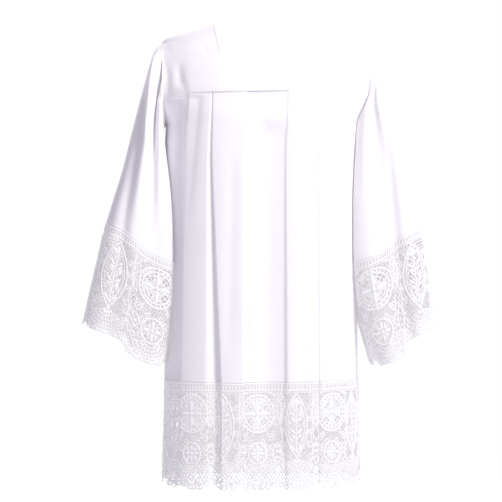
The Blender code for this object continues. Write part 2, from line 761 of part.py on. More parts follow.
def build_lace(name, surface, width, layout, outward, seam_axis):
    """A length of lace with its openings, laid on a surface over its flat width and depth."""
    flat, triangles = layout
    across, down = flat[:, 0], flat[:, 1]
    points = surface(across, down)
    limits = ((0.0, width), (0.0, LACE_DEPTH))
    normals = surface_normals(surface, across, down, limits, LACE_NORMAL_STEPS) * outward
    normals = square_to(normals, seam_axis, down < LACE_MERGE)
    corners = flat[triangles]
    edge_one = corners[:, 1] - corners[:, 0]
    edge_two = corners[:, 2] - corners[:, 0]
    turn = edge_one[:, 0] * edge_two[:, 1] - edge_one[:, 1] * edge_two[:, 0]
    faces = []
    for triangle, sense in zip(triangles.tolist(), turn * outward):
        faces.append(tuple(triangle) if sense > 0.0 else tuple(reversed(triangle)))
    points, normals, faces = used_only(points, normals, faces)
    return closed_wall(name, points, normals, faces, LACE_WALL, LACE)


def build_hem_lace(name, panel, first_motif):
    """Half of the hem lace, folded along the panel's pleats."""
    columns, lengths = panel.hem_length()
    width = float(lengths[-1])

    def surface(across, down):
        column = np.interp(across, lengths, columns)
        return panel.point(column, panel.lace_seam(column) - SEAM_GAP - down)

    crease_places = [float(np.interp(knot, columns, lengths)) for knot in panel.knots]
    between = [c for c in range(1, panel.last) if c not in set(panel.knots.tolist())]
    spread_places = [float(np.interp(c, columns, lengths)) for c in between]
    layout = lace_layout(width, HEM_COLUMNS, first_motif, crease_places, spread_places)
    return build_lace(name, surface, width, layout, panel.side, UPWARD)


def build_cuff_lace(name, sleeve, start, end, first_motif):
    """Half of a cuff's lace, between two angles round the sleeve."""
    seam = sleeve.seam_place(1)
    middle = (seam + END_STATION) / 2.0
    angles, lengths = sleeve.girth(start, end, middle)
    trim = SEAM_GAP / 2.0
    width = float(lengths[-1]) - 2.0 * trim

    def surface(across, down):
        angle = np.interp(across + trim, lengths, angles)
        place = seam + (END_STATION - seam) * down / LACE_DEPTH
        return sleeve.point(angle, place)

    valleys = [math.radians(fold.angle_cuff) for fold in sleeve.folds]
    crease_places, spread_places = [], []
    for angle in sleeve.ring_angles():
        if start < angle < end:
            places = crease_places if angle in valleys else spread_places
            places.append(float(np.interp(angle, angles, lengths)) - trim)
    layout = lace_layout(width, CUFF_COLUMNS, first_motif, crease_places, spread_places)
    return build_lace(name, surface, width, layout, sleeve.hand, sleeve.seam_axis())


def main():
    """Builds every piece of the surplice."""
    for piece in list(bpy.data.objects):
        bpy.data.objects.remove(piece)
    build_yoke("front_yoke", FRONT)
    build_yoke("back_yoke", BACK)
    front = Panel(FRONT, FRONT_CREASES)
    back = Panel(BACK, BACK_CREASES)
    build_panel("front_panel", front)
    build_panel("back_panel", back)
    build_hem_lace("hem_lace_front", front, 0)
    build_hem_lace("hem_lace_back", back, 0)
    left = Sleeve(1, LEFT_SLEEVE_STATIONS, LEFT_SLEEVE_FOLDS)
    right = Sleeve(-1, RIGHT_SLEEVE_STATIONS, RIGHT_SLEEVE_FOLDS)
    for label, sleeve in (("left", left), ("right", right)):
        build_sleeve(f"{label}_sleeve", sleeve)
        build_cuff_lace(f"{label}_cuff_lace_front", sleeve, 0.0, math.pi, 0)
        build_cuff_lace(f"{label}_cuff_lace_back", sleeve, math.pi, math.tau, 1)


main()
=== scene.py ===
"""Looks of a worn surplice: creased cotton, corded lace on net, sewing and a plain studio.

Each piece is a surface over two numbers, worked out as whole arrays and laid on the form of the solid
that it stands for. Lengths are in metres. The front faces -Y and the wearer's left is at +X.
"""

import logging
import math
from collections.abc import Callable, Iterable, Sequence
from dataclasses import dataclass, field, replace
from enum import Enum
from typing import Any

import bpy
import numpy as np
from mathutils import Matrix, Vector
from mathutils.geometry import delaunay_2d_cdt


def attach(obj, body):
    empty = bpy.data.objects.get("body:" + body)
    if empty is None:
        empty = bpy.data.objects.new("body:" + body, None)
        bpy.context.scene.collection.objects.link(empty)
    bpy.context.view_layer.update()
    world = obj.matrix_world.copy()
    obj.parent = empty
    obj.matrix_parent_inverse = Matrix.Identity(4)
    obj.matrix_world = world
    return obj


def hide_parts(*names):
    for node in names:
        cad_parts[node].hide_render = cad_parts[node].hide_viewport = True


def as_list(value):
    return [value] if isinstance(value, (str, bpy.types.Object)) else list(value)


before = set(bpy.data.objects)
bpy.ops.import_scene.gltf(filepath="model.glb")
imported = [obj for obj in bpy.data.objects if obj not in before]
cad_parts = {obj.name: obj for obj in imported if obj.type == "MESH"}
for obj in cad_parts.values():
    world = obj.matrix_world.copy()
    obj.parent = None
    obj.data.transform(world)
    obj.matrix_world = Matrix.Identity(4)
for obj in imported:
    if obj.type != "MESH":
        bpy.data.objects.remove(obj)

log = logging.getLogger("surplice")

Array = np.ndarray
Surface = Callable[[Array, Array], Array]
Row = tuple[float, ...]
Pair = tuple[float, float]
Triple = tuple[float, float, float]
Outline = Sequence[Pair]
Named = dict[str | int, Any]
Piece = bpy.types.Object
Material = bpy.types.Material
Socket = bpy.types.NodeSocket

MM = 0.001
ROOT = "root"

# The lace in mm, the share of it that is thread, and its glow, which stands for light through it
LACE_DEPTH = 204
SCALLOPED_OFF = 6
LACE_SHARE = 0.85
LACE_GLOW = (1, 0.985, 1, 1)
HALF_COLUMN = 45
CORD_STEP = 2.4
END_MARGIN = 0.4


class Side(Enum):
    """Which half of the garment, as the sign of its Y."""

    FRONT = -1
    BACK = 1


class Hand(Enum):
    """Which sleeve, as the wearer sees it and as the sign of its X."""

    LEFT = 1
    RIGHT = -1


# Curves and vectors


def smooth_step(value: Array) -> Array:
    """Rise from 0 to 1 with level ends: three times the share's square less twice its cube."""
    share = np.clip(value, 0, 1)
    return share * share * (3 - 2 * share)


def unit(vectors: Array) -> Array:
    """Scale vectors to length 1: each is divided by its length, or left at 0 where it has none."""
    size = np.linalg.norm(vectors, axis=-1, keepdims=True)
    return vectors / np.where(size > 0, size, 1)


def lengths_along(points: Array) -> Array:
    """Distance walked along a path up to each of its points: the running sum of its steps."""
    steps = np.linalg.norm(np.diff(points, axis=0), axis=1)
    return np.concatenate([[0], np.cumsum(steps)])


def joined(*parts: Array | float) -> Array:
    """Coordinates side by side along a new last axis, each spread over the shape of all."""
    return np.stack(np.broadcast_arrays(*parts), axis=-1)


def interpolated(place: Array, places: Array, points: Array) -> Array:
    """Points of a path at places along it, straight between the path's own points."""
    return joined(*(np.interp(place, places, points[:, axis]) for axis in range(points.shape[1])))


def full_turn(count: int) -> Array:
    """Angles at even steps round a full turn, from 0 and not repeating it."""
    return np.linspace(0, math.tau, count, endpoint=False)


def catmull_rom(before: Array, start: Array, end: Array, after: Array, t: Array) -> Array:
    """Points between two others: the cubic whose slope at each end is half the step past that end.

    Args:
        before: The point before the start.
        start: Where the piece starts.
        end: Where it ends.
        after: The point after the end.
        t: Shares of the way.

    Returns:
        The points.
    """
    line = start + 0.5 * t * (end - before)
    line = line + 0.5 * t**2 * (2 * before - 5 * start + 4 * end - after)
    return line + 0.5 * t**3 * (3 * start - before - 3 * end + after)


@dataclass(frozen=True)
class SmoothTable:
    """A curve through a short table: cubic pieces whose slopes never overshoot the rows."""

    places: Row
    values: Row

    def at(self, place: Array) -> Array:
        """Read the curve: Hermite cubics with the harmonic mean of neighbouring slopes.

        Args:
            place: Places to read at; outside the table the end rows hold.

        Returns:
            The values there.
        """
        x, y = np.array(self.places), np.array(self.values)
        secant = np.diff(y) / np.diff(x)
        same_way = secant[1:] * secant[:-1]
        total = np.where(same_way > 0, secant[1:] + secant[:-1], 1)
        inner = np.where(same_way > 0, 2 * same_way / total, 0)
        slope = np.concatenate([secant[:1], inner, secant[-1:]])
        spot = np.clip(place, x[0], x[-1])
        row = np.clip(np.searchsorted(x, spot, side="right") - 1, 0, len(x) - 2)
        gap = x[row + 1] - x[row]
        t = (spot - x[row]) / gap
        start = (2 * t**3 - 3 * t**2 + 1) * y[row] + (t**3 - 2 * t**2 + t) * gap * slope[row]
        end = (3 * t**2 - 2 * t**3) * y[row + 1] + (t**3 - t**2) * gap * slope[row + 1]
        return start + end


@dataclass(frozen=True)
class RoundedTrace:
    """A zigzag through knots whose corners are rounded: its running mean over a short window."""

    knots: Array
    values: Array

    def at(self, place: Array, window: Array) -> Array:
        """Mean of the zigzag over a window round each place: its integral's difference over the width."""
        return (self._integral(place + window / 2) - self._integral(place - window / 2)) / window

    def _integral(self, place: Array) -> Array:
        """Area under the zigzag up to each place: whole spans, then a part span's trapezium.

        Args:
            place: The places; outside the knots the end values hold.

        Returns:
            The areas.
        """
        widths = np.diff(self.knots)
        spans = (self.values[1:] + self.values[:-1]) / 2 * widths
        whole = np.concatenate([[0], np.cumsum(spans)])
        row = np.clip(np.searchsorted(self.knots, place, side="right") - 1, 0, len(widths) - 1)
        within = np.clip(place - self.knots[row], 0, widths[row])
        slope = (self.values[row + 1] - self.values[row]) / widths[row]
        area = whole[row] + self.values[row] * within + 0.5 * slope * within**2
        before = np.minimum(place - self.knots[0], 0) * self.values[0]
        after = np.maximum(place - self.knots[-1], 0) * self.values[-1]
        return area + before + after


@dataclass(frozen=True)
class SoftFold:
    """A crease: a soft trough or ridge from one place to another.

    Places are (across, up) pairs in the units of the surface that it lies on. The lean widens one flank
    and narrows the other. The fade is the share of its length that each end takes to die out.
    """

    start: Pair
    end: Pair
    width: float
    lift: float
    lean: float
    fade_start: float
    fade_end: float


def fold_lift(folds: Iterable[SoftFold], across: Array, up: Array) -> Array:
    """Add up folds: each is a bell over the distance from its line, faded at both ends.

    Args:
        folds: The folds.
        across: Places across the cloth, in the folds' units.
        up: Places up the cloth, in the folds' units.

    Returns:
        The lift at each place, in metres; a trough is negative.
    """
    total = np.zeros_like(across)
    for fold in folds:
        line = np.subtract(fold.end, fold.start)
        length = float(np.hypot(*line))
        away = joined(across - fold.start[0], up - fold.start[1])
        along = (away @ line) / length**2
        offset = (away[..., 0] * line[1] - away[..., 1] * line[0]) / length
        width = fold.width * np.where(offset > 0, 1 + fold.lean, 1 - fold.lean)
        rise = smooth_step(along / fold.fade_start)
        sink = smooth_step((1 - along) / fold.fade_end) if fold.fade_end else (along < 1) * 1
        total = total + fold.lift * MM * np.exp(-((offset / width) ** 2)) * rise * sink
    return total


# Meshes


@dataclass
class MeshParts:
    """Points, faces of any size and flat places, gathered for one mesh."""

    points: list[Array] = field(default_factory=list)
    faces: list[Array] = field(default_factory=list)
    places: list[Array] = field(default_factory=list)
    count: int = 0

    def add(self, points: Array, faces: Sequence[Array], places: Array) -> None:
        """Add a lump of the mesh.

        Args:
            points: Its points.
            faces: Its faces, each array of one size, which number the points from 0.
            places: The flat place of each point.
        """
        self.points.append(points.reshape(-1, 3))
        self.places.append(places.reshape(-1, 2))
        self.faces.extend(face + self.count for face in faces)
        self.count += points.size // 3

    def build(self, name: str, smooth_angle: float = 60) -> Piece:
        """Make the mesh object: loops are the faces' corners in turn, each with its point's place.

        Args:
            name: The object's name.
            smooth_angle: Edges sharper than this, in degrees, stay sharp.

        Returns:
            The new object, linked to the scene.
        """
        points = np.concatenate(self.points)
        places = np.concatenate(self.places)
        corners = np.concatenate([face.ravel() for face in self.faces]).astype(np.int32)
        sizes = np.concatenate([np.full(len(face), face.shape[1]) for face in self.faces])
        starts = np.concatenate([[0], np.cumsum(sizes)[:-1]])
        mesh = bpy.data.meshes.new(name)
        mesh.vertices.add(len(points))
        mesh.vertices.foreach_set("co", points.astype(np.float32).ravel())
        mesh.loops.add(len(corners))
        mesh.loops.foreach_set("vertex_index", corners)
        mesh.polygons.add(len(sizes))
        mesh.polygons.foreach_set("loop_start", starts.astype(np.int32))
        layer = mesh.uv_layers.new(name="flat")
        layer.data.foreach_set("uv", places[corners].astype(np.float32).ravel())
        mesh.update(calc_edges=True)
        mesh.validate()
        mesh.shade_smooth()
        mesh.set_sharp_from_angle(angle=math.radians(smooth_angle))
        piece = bpy.data.objects.new(name, mesh)
        bpy.context.scene.collection.objects.link(piece)
        return piece


def grid_quads(rows: int, columns: int, outward: int, wraps: bool = False) -> Array:
    """Number the quads of a grid: each joins a point with those beside and below it.

    Args:
        rows: Rows of points.
        columns: Points in a row.
        outward: 1 where across turned towards down points out of the cloth, else -1.
        wraps: Whether the last point of a row joins its first.

    Returns:
        One row of four corners for each quad.
    """
    spans = columns if wraps else columns - 1
    row, column = np.meshgrid(np.arange(rows - 1), np.arange(spans), indexing="ij")
    beside = (column + 1) % columns
    here, below = row * columns, (row + 1) * columns
    quads = joined(here + column, here + beside, below + beside, below + column).reshape(-1, 4)
    return quads if outward > 0 else quads[:, ::-1]


def grid_normals(points: Array, outward: int, wraps: bool = False) -> Array:
    """Normals of a grid: the step across turned towards the step down.

    Args:
        points: The grid, rows by columns by 3.
        outward: The same sign as for its quads.
        wraps: Whether its rows are closed.

    Returns:
        A unit normal for each point.
    """
    if wraps:
        across = np.roll(points, -1, axis=1) - np.roll(points, 1, axis=1)
    else:
        across = np.gradient(points, axis=1)
    return unit(np.cross(across, np.gradient(points, axis=0))) * outward


def rim_quads(faces: Array, count: int) -> Array:
    """Quads that close a wall between a sheet and its copy: one for each edge with one face.

    Args:
        faces: The sheet's faces, all of one size.
        count: How many points come before the copy's points.

    Returns:
        One row of four corners for each edge of the sheet's rim.
    """
    starts, ends = faces.ravel(), np.roll(faces, -1, axis=1).ravel()
    keys = np.minimum(starts, ends).astype(np.int64) * count + np.maximum(starts, ends)
    _, first, uses = np.unique(keys, return_index=True, return_counts=True)
    rim = first[uses == 1]
    start, end = starts[rim], ends[rim]
    return joined(end, start, start + count, end + count)


def wall(parts: MeshParts, points: Array, normals: Array, faces: Array, places: Array, thick: float) -> None:
    """Add a closed wall: the sheet, its copy one thickness inside it, and the rim between them.

    Args:
        parts: Where the wall goes.
        points: Points of the outer side, in a list or a grid.
        normals: Their outward normals.
        faces: Faces of the outer side.
        places: Flat place of each point, in metres.
        thick: The wall's thickness.
    """
    points, normals, places = (part.reshape(-1, part.shape[-1]) for part in (points, normals, places))
    used = np.unique(faces)
    number = np.zeros(len(points), dtype=np.int64)
    number[used] = np.arange(len(used))
    faces, points, normals, places = number[faces], points[used], normals[used], places[used]
    both = np.concatenate([points, points - normals * thick])
    count = len(points)
    inner = faces[:, ::-1] + count
    parts.add(both, [faces, inner, rim_quads(faces, count)], np.concatenate([places, places]))


@dataclass(frozen=True)
class Strand:
    """A cord or fold of cloth laid along a path: its line, the cloth's normals and its section."""

    points: Array
    normals: Array
    radius: float
    flatness: float = 1
    closed: bool = False


def add_strand(parts: MeshParts, strand: Strand, sides: int) -> None:
    """Add a tube: at each point of the path an oval ring square to the path.

    The ring runs round from the path's side direction to the cloth's normal; its height along the
    normal is the radius times the flatness.

    Args:
        parts: Where the tube goes.
        strand: The tube's path and section.
        sides: How many points its ring has.
    """
    points = strand.points
    if strand.closed:
        tangent = np.roll(points, -1, axis=0) - np.roll(points, 1, axis=0)
    else:
        tangent = np.gradient(points, axis=0)
    tangent = unit(tangent)
    beside = unit(np.cross(tangent, strand.normals))
    above = np.cross(beside, tangent)
    turn = full_turn(sides)
    ring = np.cos(turn)[None, :, None] * beside[:, None, :]
    ring = ring + strand.flatness * np.sin(turn)[None, :, None] * above[:, None, :]
    tube = points[:, None, :] + strand.radius * ring
    count = len(points)
    spans = count if strand.closed else count - 1
    row, side = np.meshgrid(np.arange(spans) * sides, np.arange(sides), indexing="ij")
    ahead, beyond = (row + sides) % (count * sides), (side + 1) % sides
    faces = [joined(row + side, ahead + side, ahead + beyond, row + beyond).reshape(-1, 4)]
    if not strand.closed:
        start = np.arange(sides)[None, :]
        faces += [start, start[:, ::-1] + (count - 1) * sides]
    along = lengths_along(points)[:, None]
    around = np.arange(sides) / sides
    parts.add(tube, faces, joined(along, around * strand.radius * math.tau))


# The form that the garment keeps


@dataclass(frozen=True)
class BodyForm:
    """The rounded box that the body of the garment keeps, and how it sits on the wearer.

    At each height the outline is |x / a|^n + |y / b|^n = 1. Heights and lengths are in mm.
    """

    heights: Row = (-925, -716, -500, -320, -205, -142, -38)
    half_widths: Row = (203, 197.5, 196.5, 196.5, 197.5, 207, 208)
    front_depths: Row = (151, 147, 141, 135, 127, 118, 118)
    back_depths: Row = (141, 137, 129, 123, 117, 109, 109)
    powers: Row = (2.3, 2.3, 2.35, 2.4, 2.5, 2.6, 2.6)
    armhole_top: float = -38
    armhole_widest: float = -124
    underarm: float = -205
    armhole_half_depth: float = 74
    lean: float = 7
    tilt: float = 0.02
    lean_to: float = -300

    def half_width(self, z: Array) -> Array:
        """Half the garment's width at heights z."""
        return SmoothTable(self.heights, self.half_widths).at(z / MM) * MM

    def depth(self, side: Side, z: Array) -> Array:
        """How far the front or back lies from the middle at heights z."""
        depths = self.front_depths if side is Side.FRONT else self.back_depths
        return SmoothTable(self.heights, depths).at(z / MM) * MM

    def power(self, z: Array) -> Array:
        """How square the outline's corners are at heights z."""
        return SmoothTable(self.heights, self.powers).at(z / MM)

    def armhole_depth(self, z: Array) -> Array:
        """Half the armhole's size from front to back: two half ovals that meet at its widest.

        Args:
            z: Heights.

        Returns:
            The half depths, 0 below the underarm.
        """
        above, below = self.armhole_top - self.armhole_widest, self.armhole_widest - self.underarm
        away = z / MM - self.armhole_widest
        share = np.clip(away / np.where(away > 0, above, below), -1, 1)
        return self.armhole_half_depth * MM * np.sqrt(1 - share**2)

    def full_half_width(self, side: Side, z: Array) -> Array:
        """Half width of the outline whose front or back passes through the armhole's edge."""
        power, share = self.power(z), self.armhole_depth(z) / self.depth(side, z)
        return self.half_width(z) / (1 - share**power) ** (1 / power)

    def angle_at(self, side: Side, x: Array, z: Array) -> Array:
        """Angle on the outline at places x, 0 at the middle: the arc sine of the share's half power."""
        share = np.clip(np.abs(x) / self.full_half_width(side, z), 0, 1)
        return np.sign(x) * np.arcsin(share ** (self.power(z) / 2))

    def point(self, side: Side, angle: Array, lift: Array, z: Array) -> Array:
        """Points on the outline, moved out by lift along its normal.

        Args:
            side: Front or back.
            angle: Angles on the outline.
            lift: How far each point stands off the outline.
            z: Heights.

        Returns:
            The points as worn.
        """
        power = self.power(z)
        wide, deep = self.full_half_width(side, z), self.depth(side, z)
        x = wide * np.sign(angle) * np.abs(np.sin(angle)) ** (2 / power)
        y = deep * np.abs(np.cos(angle)) ** (2 / power)
        slope_x = np.sign(x) * np.abs(x / wide) ** (power - 1) / wide
        slope_y = np.abs(y / deep) ** (power - 1) / deep
        size = np.hypot(slope_x, slope_y)
        return self.worn(x + lift * slope_x / size, side.value * (y + lift * slope_y / size), z)

    def worn(self, x: Array, y: Array, z: Array) -> Array:
        """Shift and tilt points sideways: fully at the shoulders, not at all below the chest."""
        share = smooth_step((z / MM - self.lean_to) / (self.armhole_widest - self.lean_to))
        return joined(x + self.lean * MM * share, y, z + self.tilt * x * share)

    def clear_side(self, y: Array, z: Array, hand: Hand) -> Array:
        """How far out the body's side lies at places y and heights z, as the sleeve meets it.

        Args:
            y: Places from front to back.
            z: Heights.
            hand: Which side.

        Returns:
            Distances from the middle.
        """
        limit = np.zeros_like(y)
        power = self.power(z)
        for side in Side:
            share = np.clip(np.abs(y) / self.depth(side, z), 0, 1)
            half = self.full_half_width(side, z) * (1 - share**power) ** (1 / power)
            half = np.minimum(half, self.half_width(z))
            limit = np.where(np.sign(y) == side.value, half, limit)
        return hand.value * self.worn(hand.value * limit, y, z)[..., 0]


@dataclass(frozen=True)
class Crease:
    """One crease of a pleated panel, from the yoke seam to the hem: places and lifts in mm.

    The cloth runs from each crease to the next one in the given number of steps.
    """

    x_top: float
    lift_top: float
    x_hem: float
    lift_hem: float
    steps: int


@dataclass(frozen=True)
class PleatedPanel:
    """A pleated half of the body and the lace below it: a surface over a column and a height."""

    side: Side
    body: BodyForm
    creases: tuple[Crease, ...]
    folds: tuple[SoftFold, ...]
    yoke_seam: float = -142
    yoke_side_drop: float = 14
    drop_from_x: float = 155
    drop_to_x: float = 163
    lace_seam: float = -716
    lace_seam_drop: float = 8
    side_steps: int = 5
    top_rounding: float = 0.14
    hem_rounding: float = 0.45

    @property
    def knots(self) -> Array:
        """Column number of each crease."""
        counts = [crease.steps for crease in self.creases[:-1]]
        return self.side_steps + np.concatenate([[0], np.cumsum(counts)]).astype(float)

    @property
    def last(self) -> float:
        """Column number of the panel's far edge."""
        return float(self.knots[-1] + self.side_steps)

    def trace(self, name: str, column: Array, window: Array) -> Array:
        """A field of the creases at column numbers, with its corners rounded, in metres."""
        values = np.array([getattr(crease, name) for crease in self.creases]) * MM
        return RoundedTrace(self.knots, values).at(column, window)

    def share_down(self, z: Array) -> Array:
        """How far down the pleats heights z lie: 0 at the yoke's seam and 1 at the lace's."""
        return np.clip((self.yoke_seam - z / MM) / (self.yoke_seam - self.lace_seam), 0, 1)

    def point(self, column: Array, z: Array, lift: Array | float = 0) -> Array:
        """Points of the pleated surface.

        Across and lift are straight between creases and between seam and hem, then rounded; the side
        parts run evenly round the outline to the edge.

        Args:
            column: Column numbers.
            z: Heights.
            lift: How far the points stand off the cloth.

        Returns:
            The points.
        """
        down = self.share_down(z)
        window = self.top_rounding + (self.hem_rounding - self.top_rounding) * down
        x_top = self.trace("x_top", column, window)
        x = x_top + (self.trace("x_hem", column, window) - x_top) * down
        lift_top = self.trace("lift_top", column, window)
        height = lift_top + (self.trace("lift_hem", column, window) - lift_top) * down
        angle = self.body.angle_at(self.side, x, z)
        first = np.clip((self.knots[0] - column) / self.side_steps, 0, 1)
        final = np.clip((column - self.knots[-1]) / self.side_steps, 0, 1)
        edge = self.body.angle_at(self.side, self.body.half_width(z), z)
        angle = angle + (-edge - angle) * first + (edge - angle) * final
        height = height + fold_lift(self.folds, self.body.point(self.side, angle, 0, z)[..., 0] / MM, z / MM)
        return self.body.point(self.side, angle, height + lift, z)

    def yoke_seam_at(self, column: Array) -> Array:
        """Height of the yoke's seam: lower beside the outermost pleats.

        Args:
            column: Column numbers.

        Returns:
            The heights.
        """
        x = np.abs(self.trace("x_top", column, np.full_like(column, 0.01))) / MM
        beside = np.clip((x - self.drop_from_x) / (self.drop_to_x - self.drop_from_x), 0, 1)
        return (self.yoke_seam - self.yoke_side_drop * beside) * MM

    def lace_seam_at(self, column: Array) -> Array:
        """Height of the lace's seam: a little lower at the sides than in the middle."""
        share = np.abs(2 * column / self.last - 1)
        return (self.lace_seam - self.lace_seam_drop * smooth_step(share * 2 - 1)) * MM

    def hem_lengths(self) -> tuple[Array, Array]:
        """Column numbers along the hem and the length of the folded hem up to each.

        Returns:
            The column numbers and the lengths.
        """
        column = np.linspace(0, self.last, 1200)
        path = self.point(column, np.full_like(column, self.lace_seam * MM))
        return column, lengths_along(path)


@dataclass(frozen=True)
class YokeForm:
    """Half of the yoke: columns from armhole to armhole, turns down from the shoulder line.

    Each column falls along a quarter of an oval, level on the shoulder and upright at the seam. Its
    lower edge stands off the form, over the tops of the pleats.
    """

    side: Side
    body: BodyForm
    neck_drop: float
    neck_half: float
    folds: tuple[SoftFold, ...]
    neck_shift: float = 0
    neck_top_half: float = 105
    shoulder_half: float = 208
    shoulder_drop: float = 38
    shoulder_rounding: float = 0.23
    seam: float = -142
    side_drop: float = 14
    drop_from_x: float = 152
    drop_to_x: float = 160
    strap_steps: int = 7
    middle_steps: int = 10
    edge_power: int = 6
    edge_lift: float = 2
    edge_lift_beside: float = 1.1
    edge_turn: float = 76

    @property
    def last(self) -> float:
        """Column number of the far armhole."""
        return float(2 * self.strap_steps + self.middle_steps)

    @property
    def neck_turn(self) -> float:
        """Turn at which the neck's lower edge lies."""
        return math.acos(1 + self.neck_drop / self.seam)

    @property
    def edge(self) -> float:
        """Half width of the yoke's lower edge, at the armholes, in mm."""
        return float(self.body.half_width(np.array(self.seam - self.side_drop) * MM) / MM)

    def strap_share(self, step: Array) -> Array:
        """How far out along the strap its steps lie: even up to the notch, and even past it.

        Args:
            step: Steps from the neck outwards.

        Returns:
            Shares of the strap's width.
        """
        edge = self.edge
        inner = np.linspace(self.neck_half, self.drop_from_x, self.strap_steps - 2)
        outer = np.linspace(self.drop_to_x, edge, 3)
        shares = (np.concatenate([inner, outer]) - self.neck_half) / (edge - self.neck_half)
        return np.interp(step, np.arange(self.strap_steps + 1), shares)

    def seam_height(self, x: Array) -> Array:
        """Height of the yoke's seam at half widths x, in mm."""
        beside = np.clip((x - self.drop_from_x) / (self.drop_to_x - self.drop_from_x), 0, 1)
        return self.seam - self.side_drop * beside

    def point(self, column: Array, turn: Array, lift: Array | float = 0) -> Array:
        """Points of the yoke.

        The height falls with 1 less the cosine of the turn, and the depth grows with its sine; near the
        armhole both blend into the armhole's edge.

        Args:
            column: Column numbers.
            turn: Turns in radians; past a right angle the edge hangs straight down, 100 mm a radian.
            lift: How far the points stand off the cloth.

        Returns:
            The points.
        """
        body = self.body
        from_middle = column - self.last / 2
        half_middle = self.middle_steps / 2
        strap = self.strap_share(np.abs(from_middle) - half_middle)
        within = np.clip(np.abs(from_middle) / half_middle, 0, 1)
        seam_x = self.neck_half * within + (self.edge - self.neck_half) * strap
        top_x = self.neck_top_half * within + (self.shoulder_half - self.neck_top_half) * strap
        top_z = -self.shoulder_drop * (strap + self.shoulder_rounding * (strap**10 - strap))
        seam_z = self.seam_height(seam_x)
        bent = np.minimum(turn, math.pi / 2)
        past = turn - bent
        fall = 1 - np.cos(bent)
        z = (top_z + (seam_z - top_z) * fall) * MM
        across = np.clip(fall / (1 - math.cos(self.neck_turn)), 0, 1)
        x = (top_x + (seam_x - top_x) * across) * MM
        x = x + (body.half_width(z) - x) * strap**self.edge_power
        seam_angle = body.angle_at(self.side, seam_x * MM, seam_z * MM)
        seam_y = np.abs(body.point(self.side, seam_angle, 0, seam_z * MM)[..., 1])
        hung = np.clip(fall * (seam_z - top_z) / (self.seam - top_z), 0, 1)
        body_y = seam_y * np.sqrt(1 - (1 - hung) ** 2)
        y = body_y + (body.armhole_depth(z) - body_y) * strap**self.edge_power
        near = smooth_step((turn - math.radians(self.edge_turn)) / math.radians(90 - self.edge_turn))
        beside = smooth_step((seam_x - self.drop_from_x) / (self.drop_to_x - self.drop_from_x))
        edge_lift = (self.edge_lift + (self.edge_lift_beside - self.edge_lift) * beside) * MM
        out = near * edge_lift * (1 - strap**8) + lift
        signed_x = np.sign(from_middle) * x + self.neck_shift * MM * across * (1 - strap) ** 3
        out = out + fold_lift(self.folds, signed_x / MM, z / MM)
        y = y + out * np.sin(bent)
        z = z + out * np.cos(bent) - past * 0.1
        return body.worn(signed_x, self.side.value * y, z)


@dataclass(frozen=True)
class Station:
    """One slanting ring of a sleeve, in mm: its outer and inner ends and its half depth.

    A slant of 1 is a straight slope between the ends; below 1 the drop gathers in the middle.
    """

    outer_x: float
    outer_z: float
    inner_x: float
    inner_z: float
    half_depth: float
    middle_y: float
    power: float
    slant: float

    def ring(self, angle: Array) -> Array:
        """Points of the ring: a rounded oval whose height follows its distance from the body.

        Args:
            angle: Angles, 0 at the outer end and a right angle at the front.

        Returns:
            The points, with x as the distance from the middle of the garment.
        """
        cosine = np.sign(np.cos(angle)) * np.abs(np.cos(angle)) ** (2 / self.power)
        sine = np.sign(np.sin(angle)) * np.abs(np.sin(angle)) ** (2 / self.power)
        fall = np.sign(cosine) * np.abs(cosine) ** self.slant
        x = self.inner_x + (self.outer_x - self.inner_x) * (1 + cosine) / 2
        z = self.inner_z + (self.outer_z - self.inner_z) * (1 + fall) / 2
        return joined(x, self.middle_y - sine * self.half_depth, z) * MM


@dataclass(frozen=True)
class RingFold:
    """A valley or ridge down a sleeve: angles and half width in degrees, depth in mm.

    It starts at one station number and ends at another; a negative depth is a ridge.
    """

    angle_top: float
    angle_cuff: float
    half_width: float
    depth: float
    start: float = 0
    grown: float = 5
    end: float = 9
    bow: float = 0


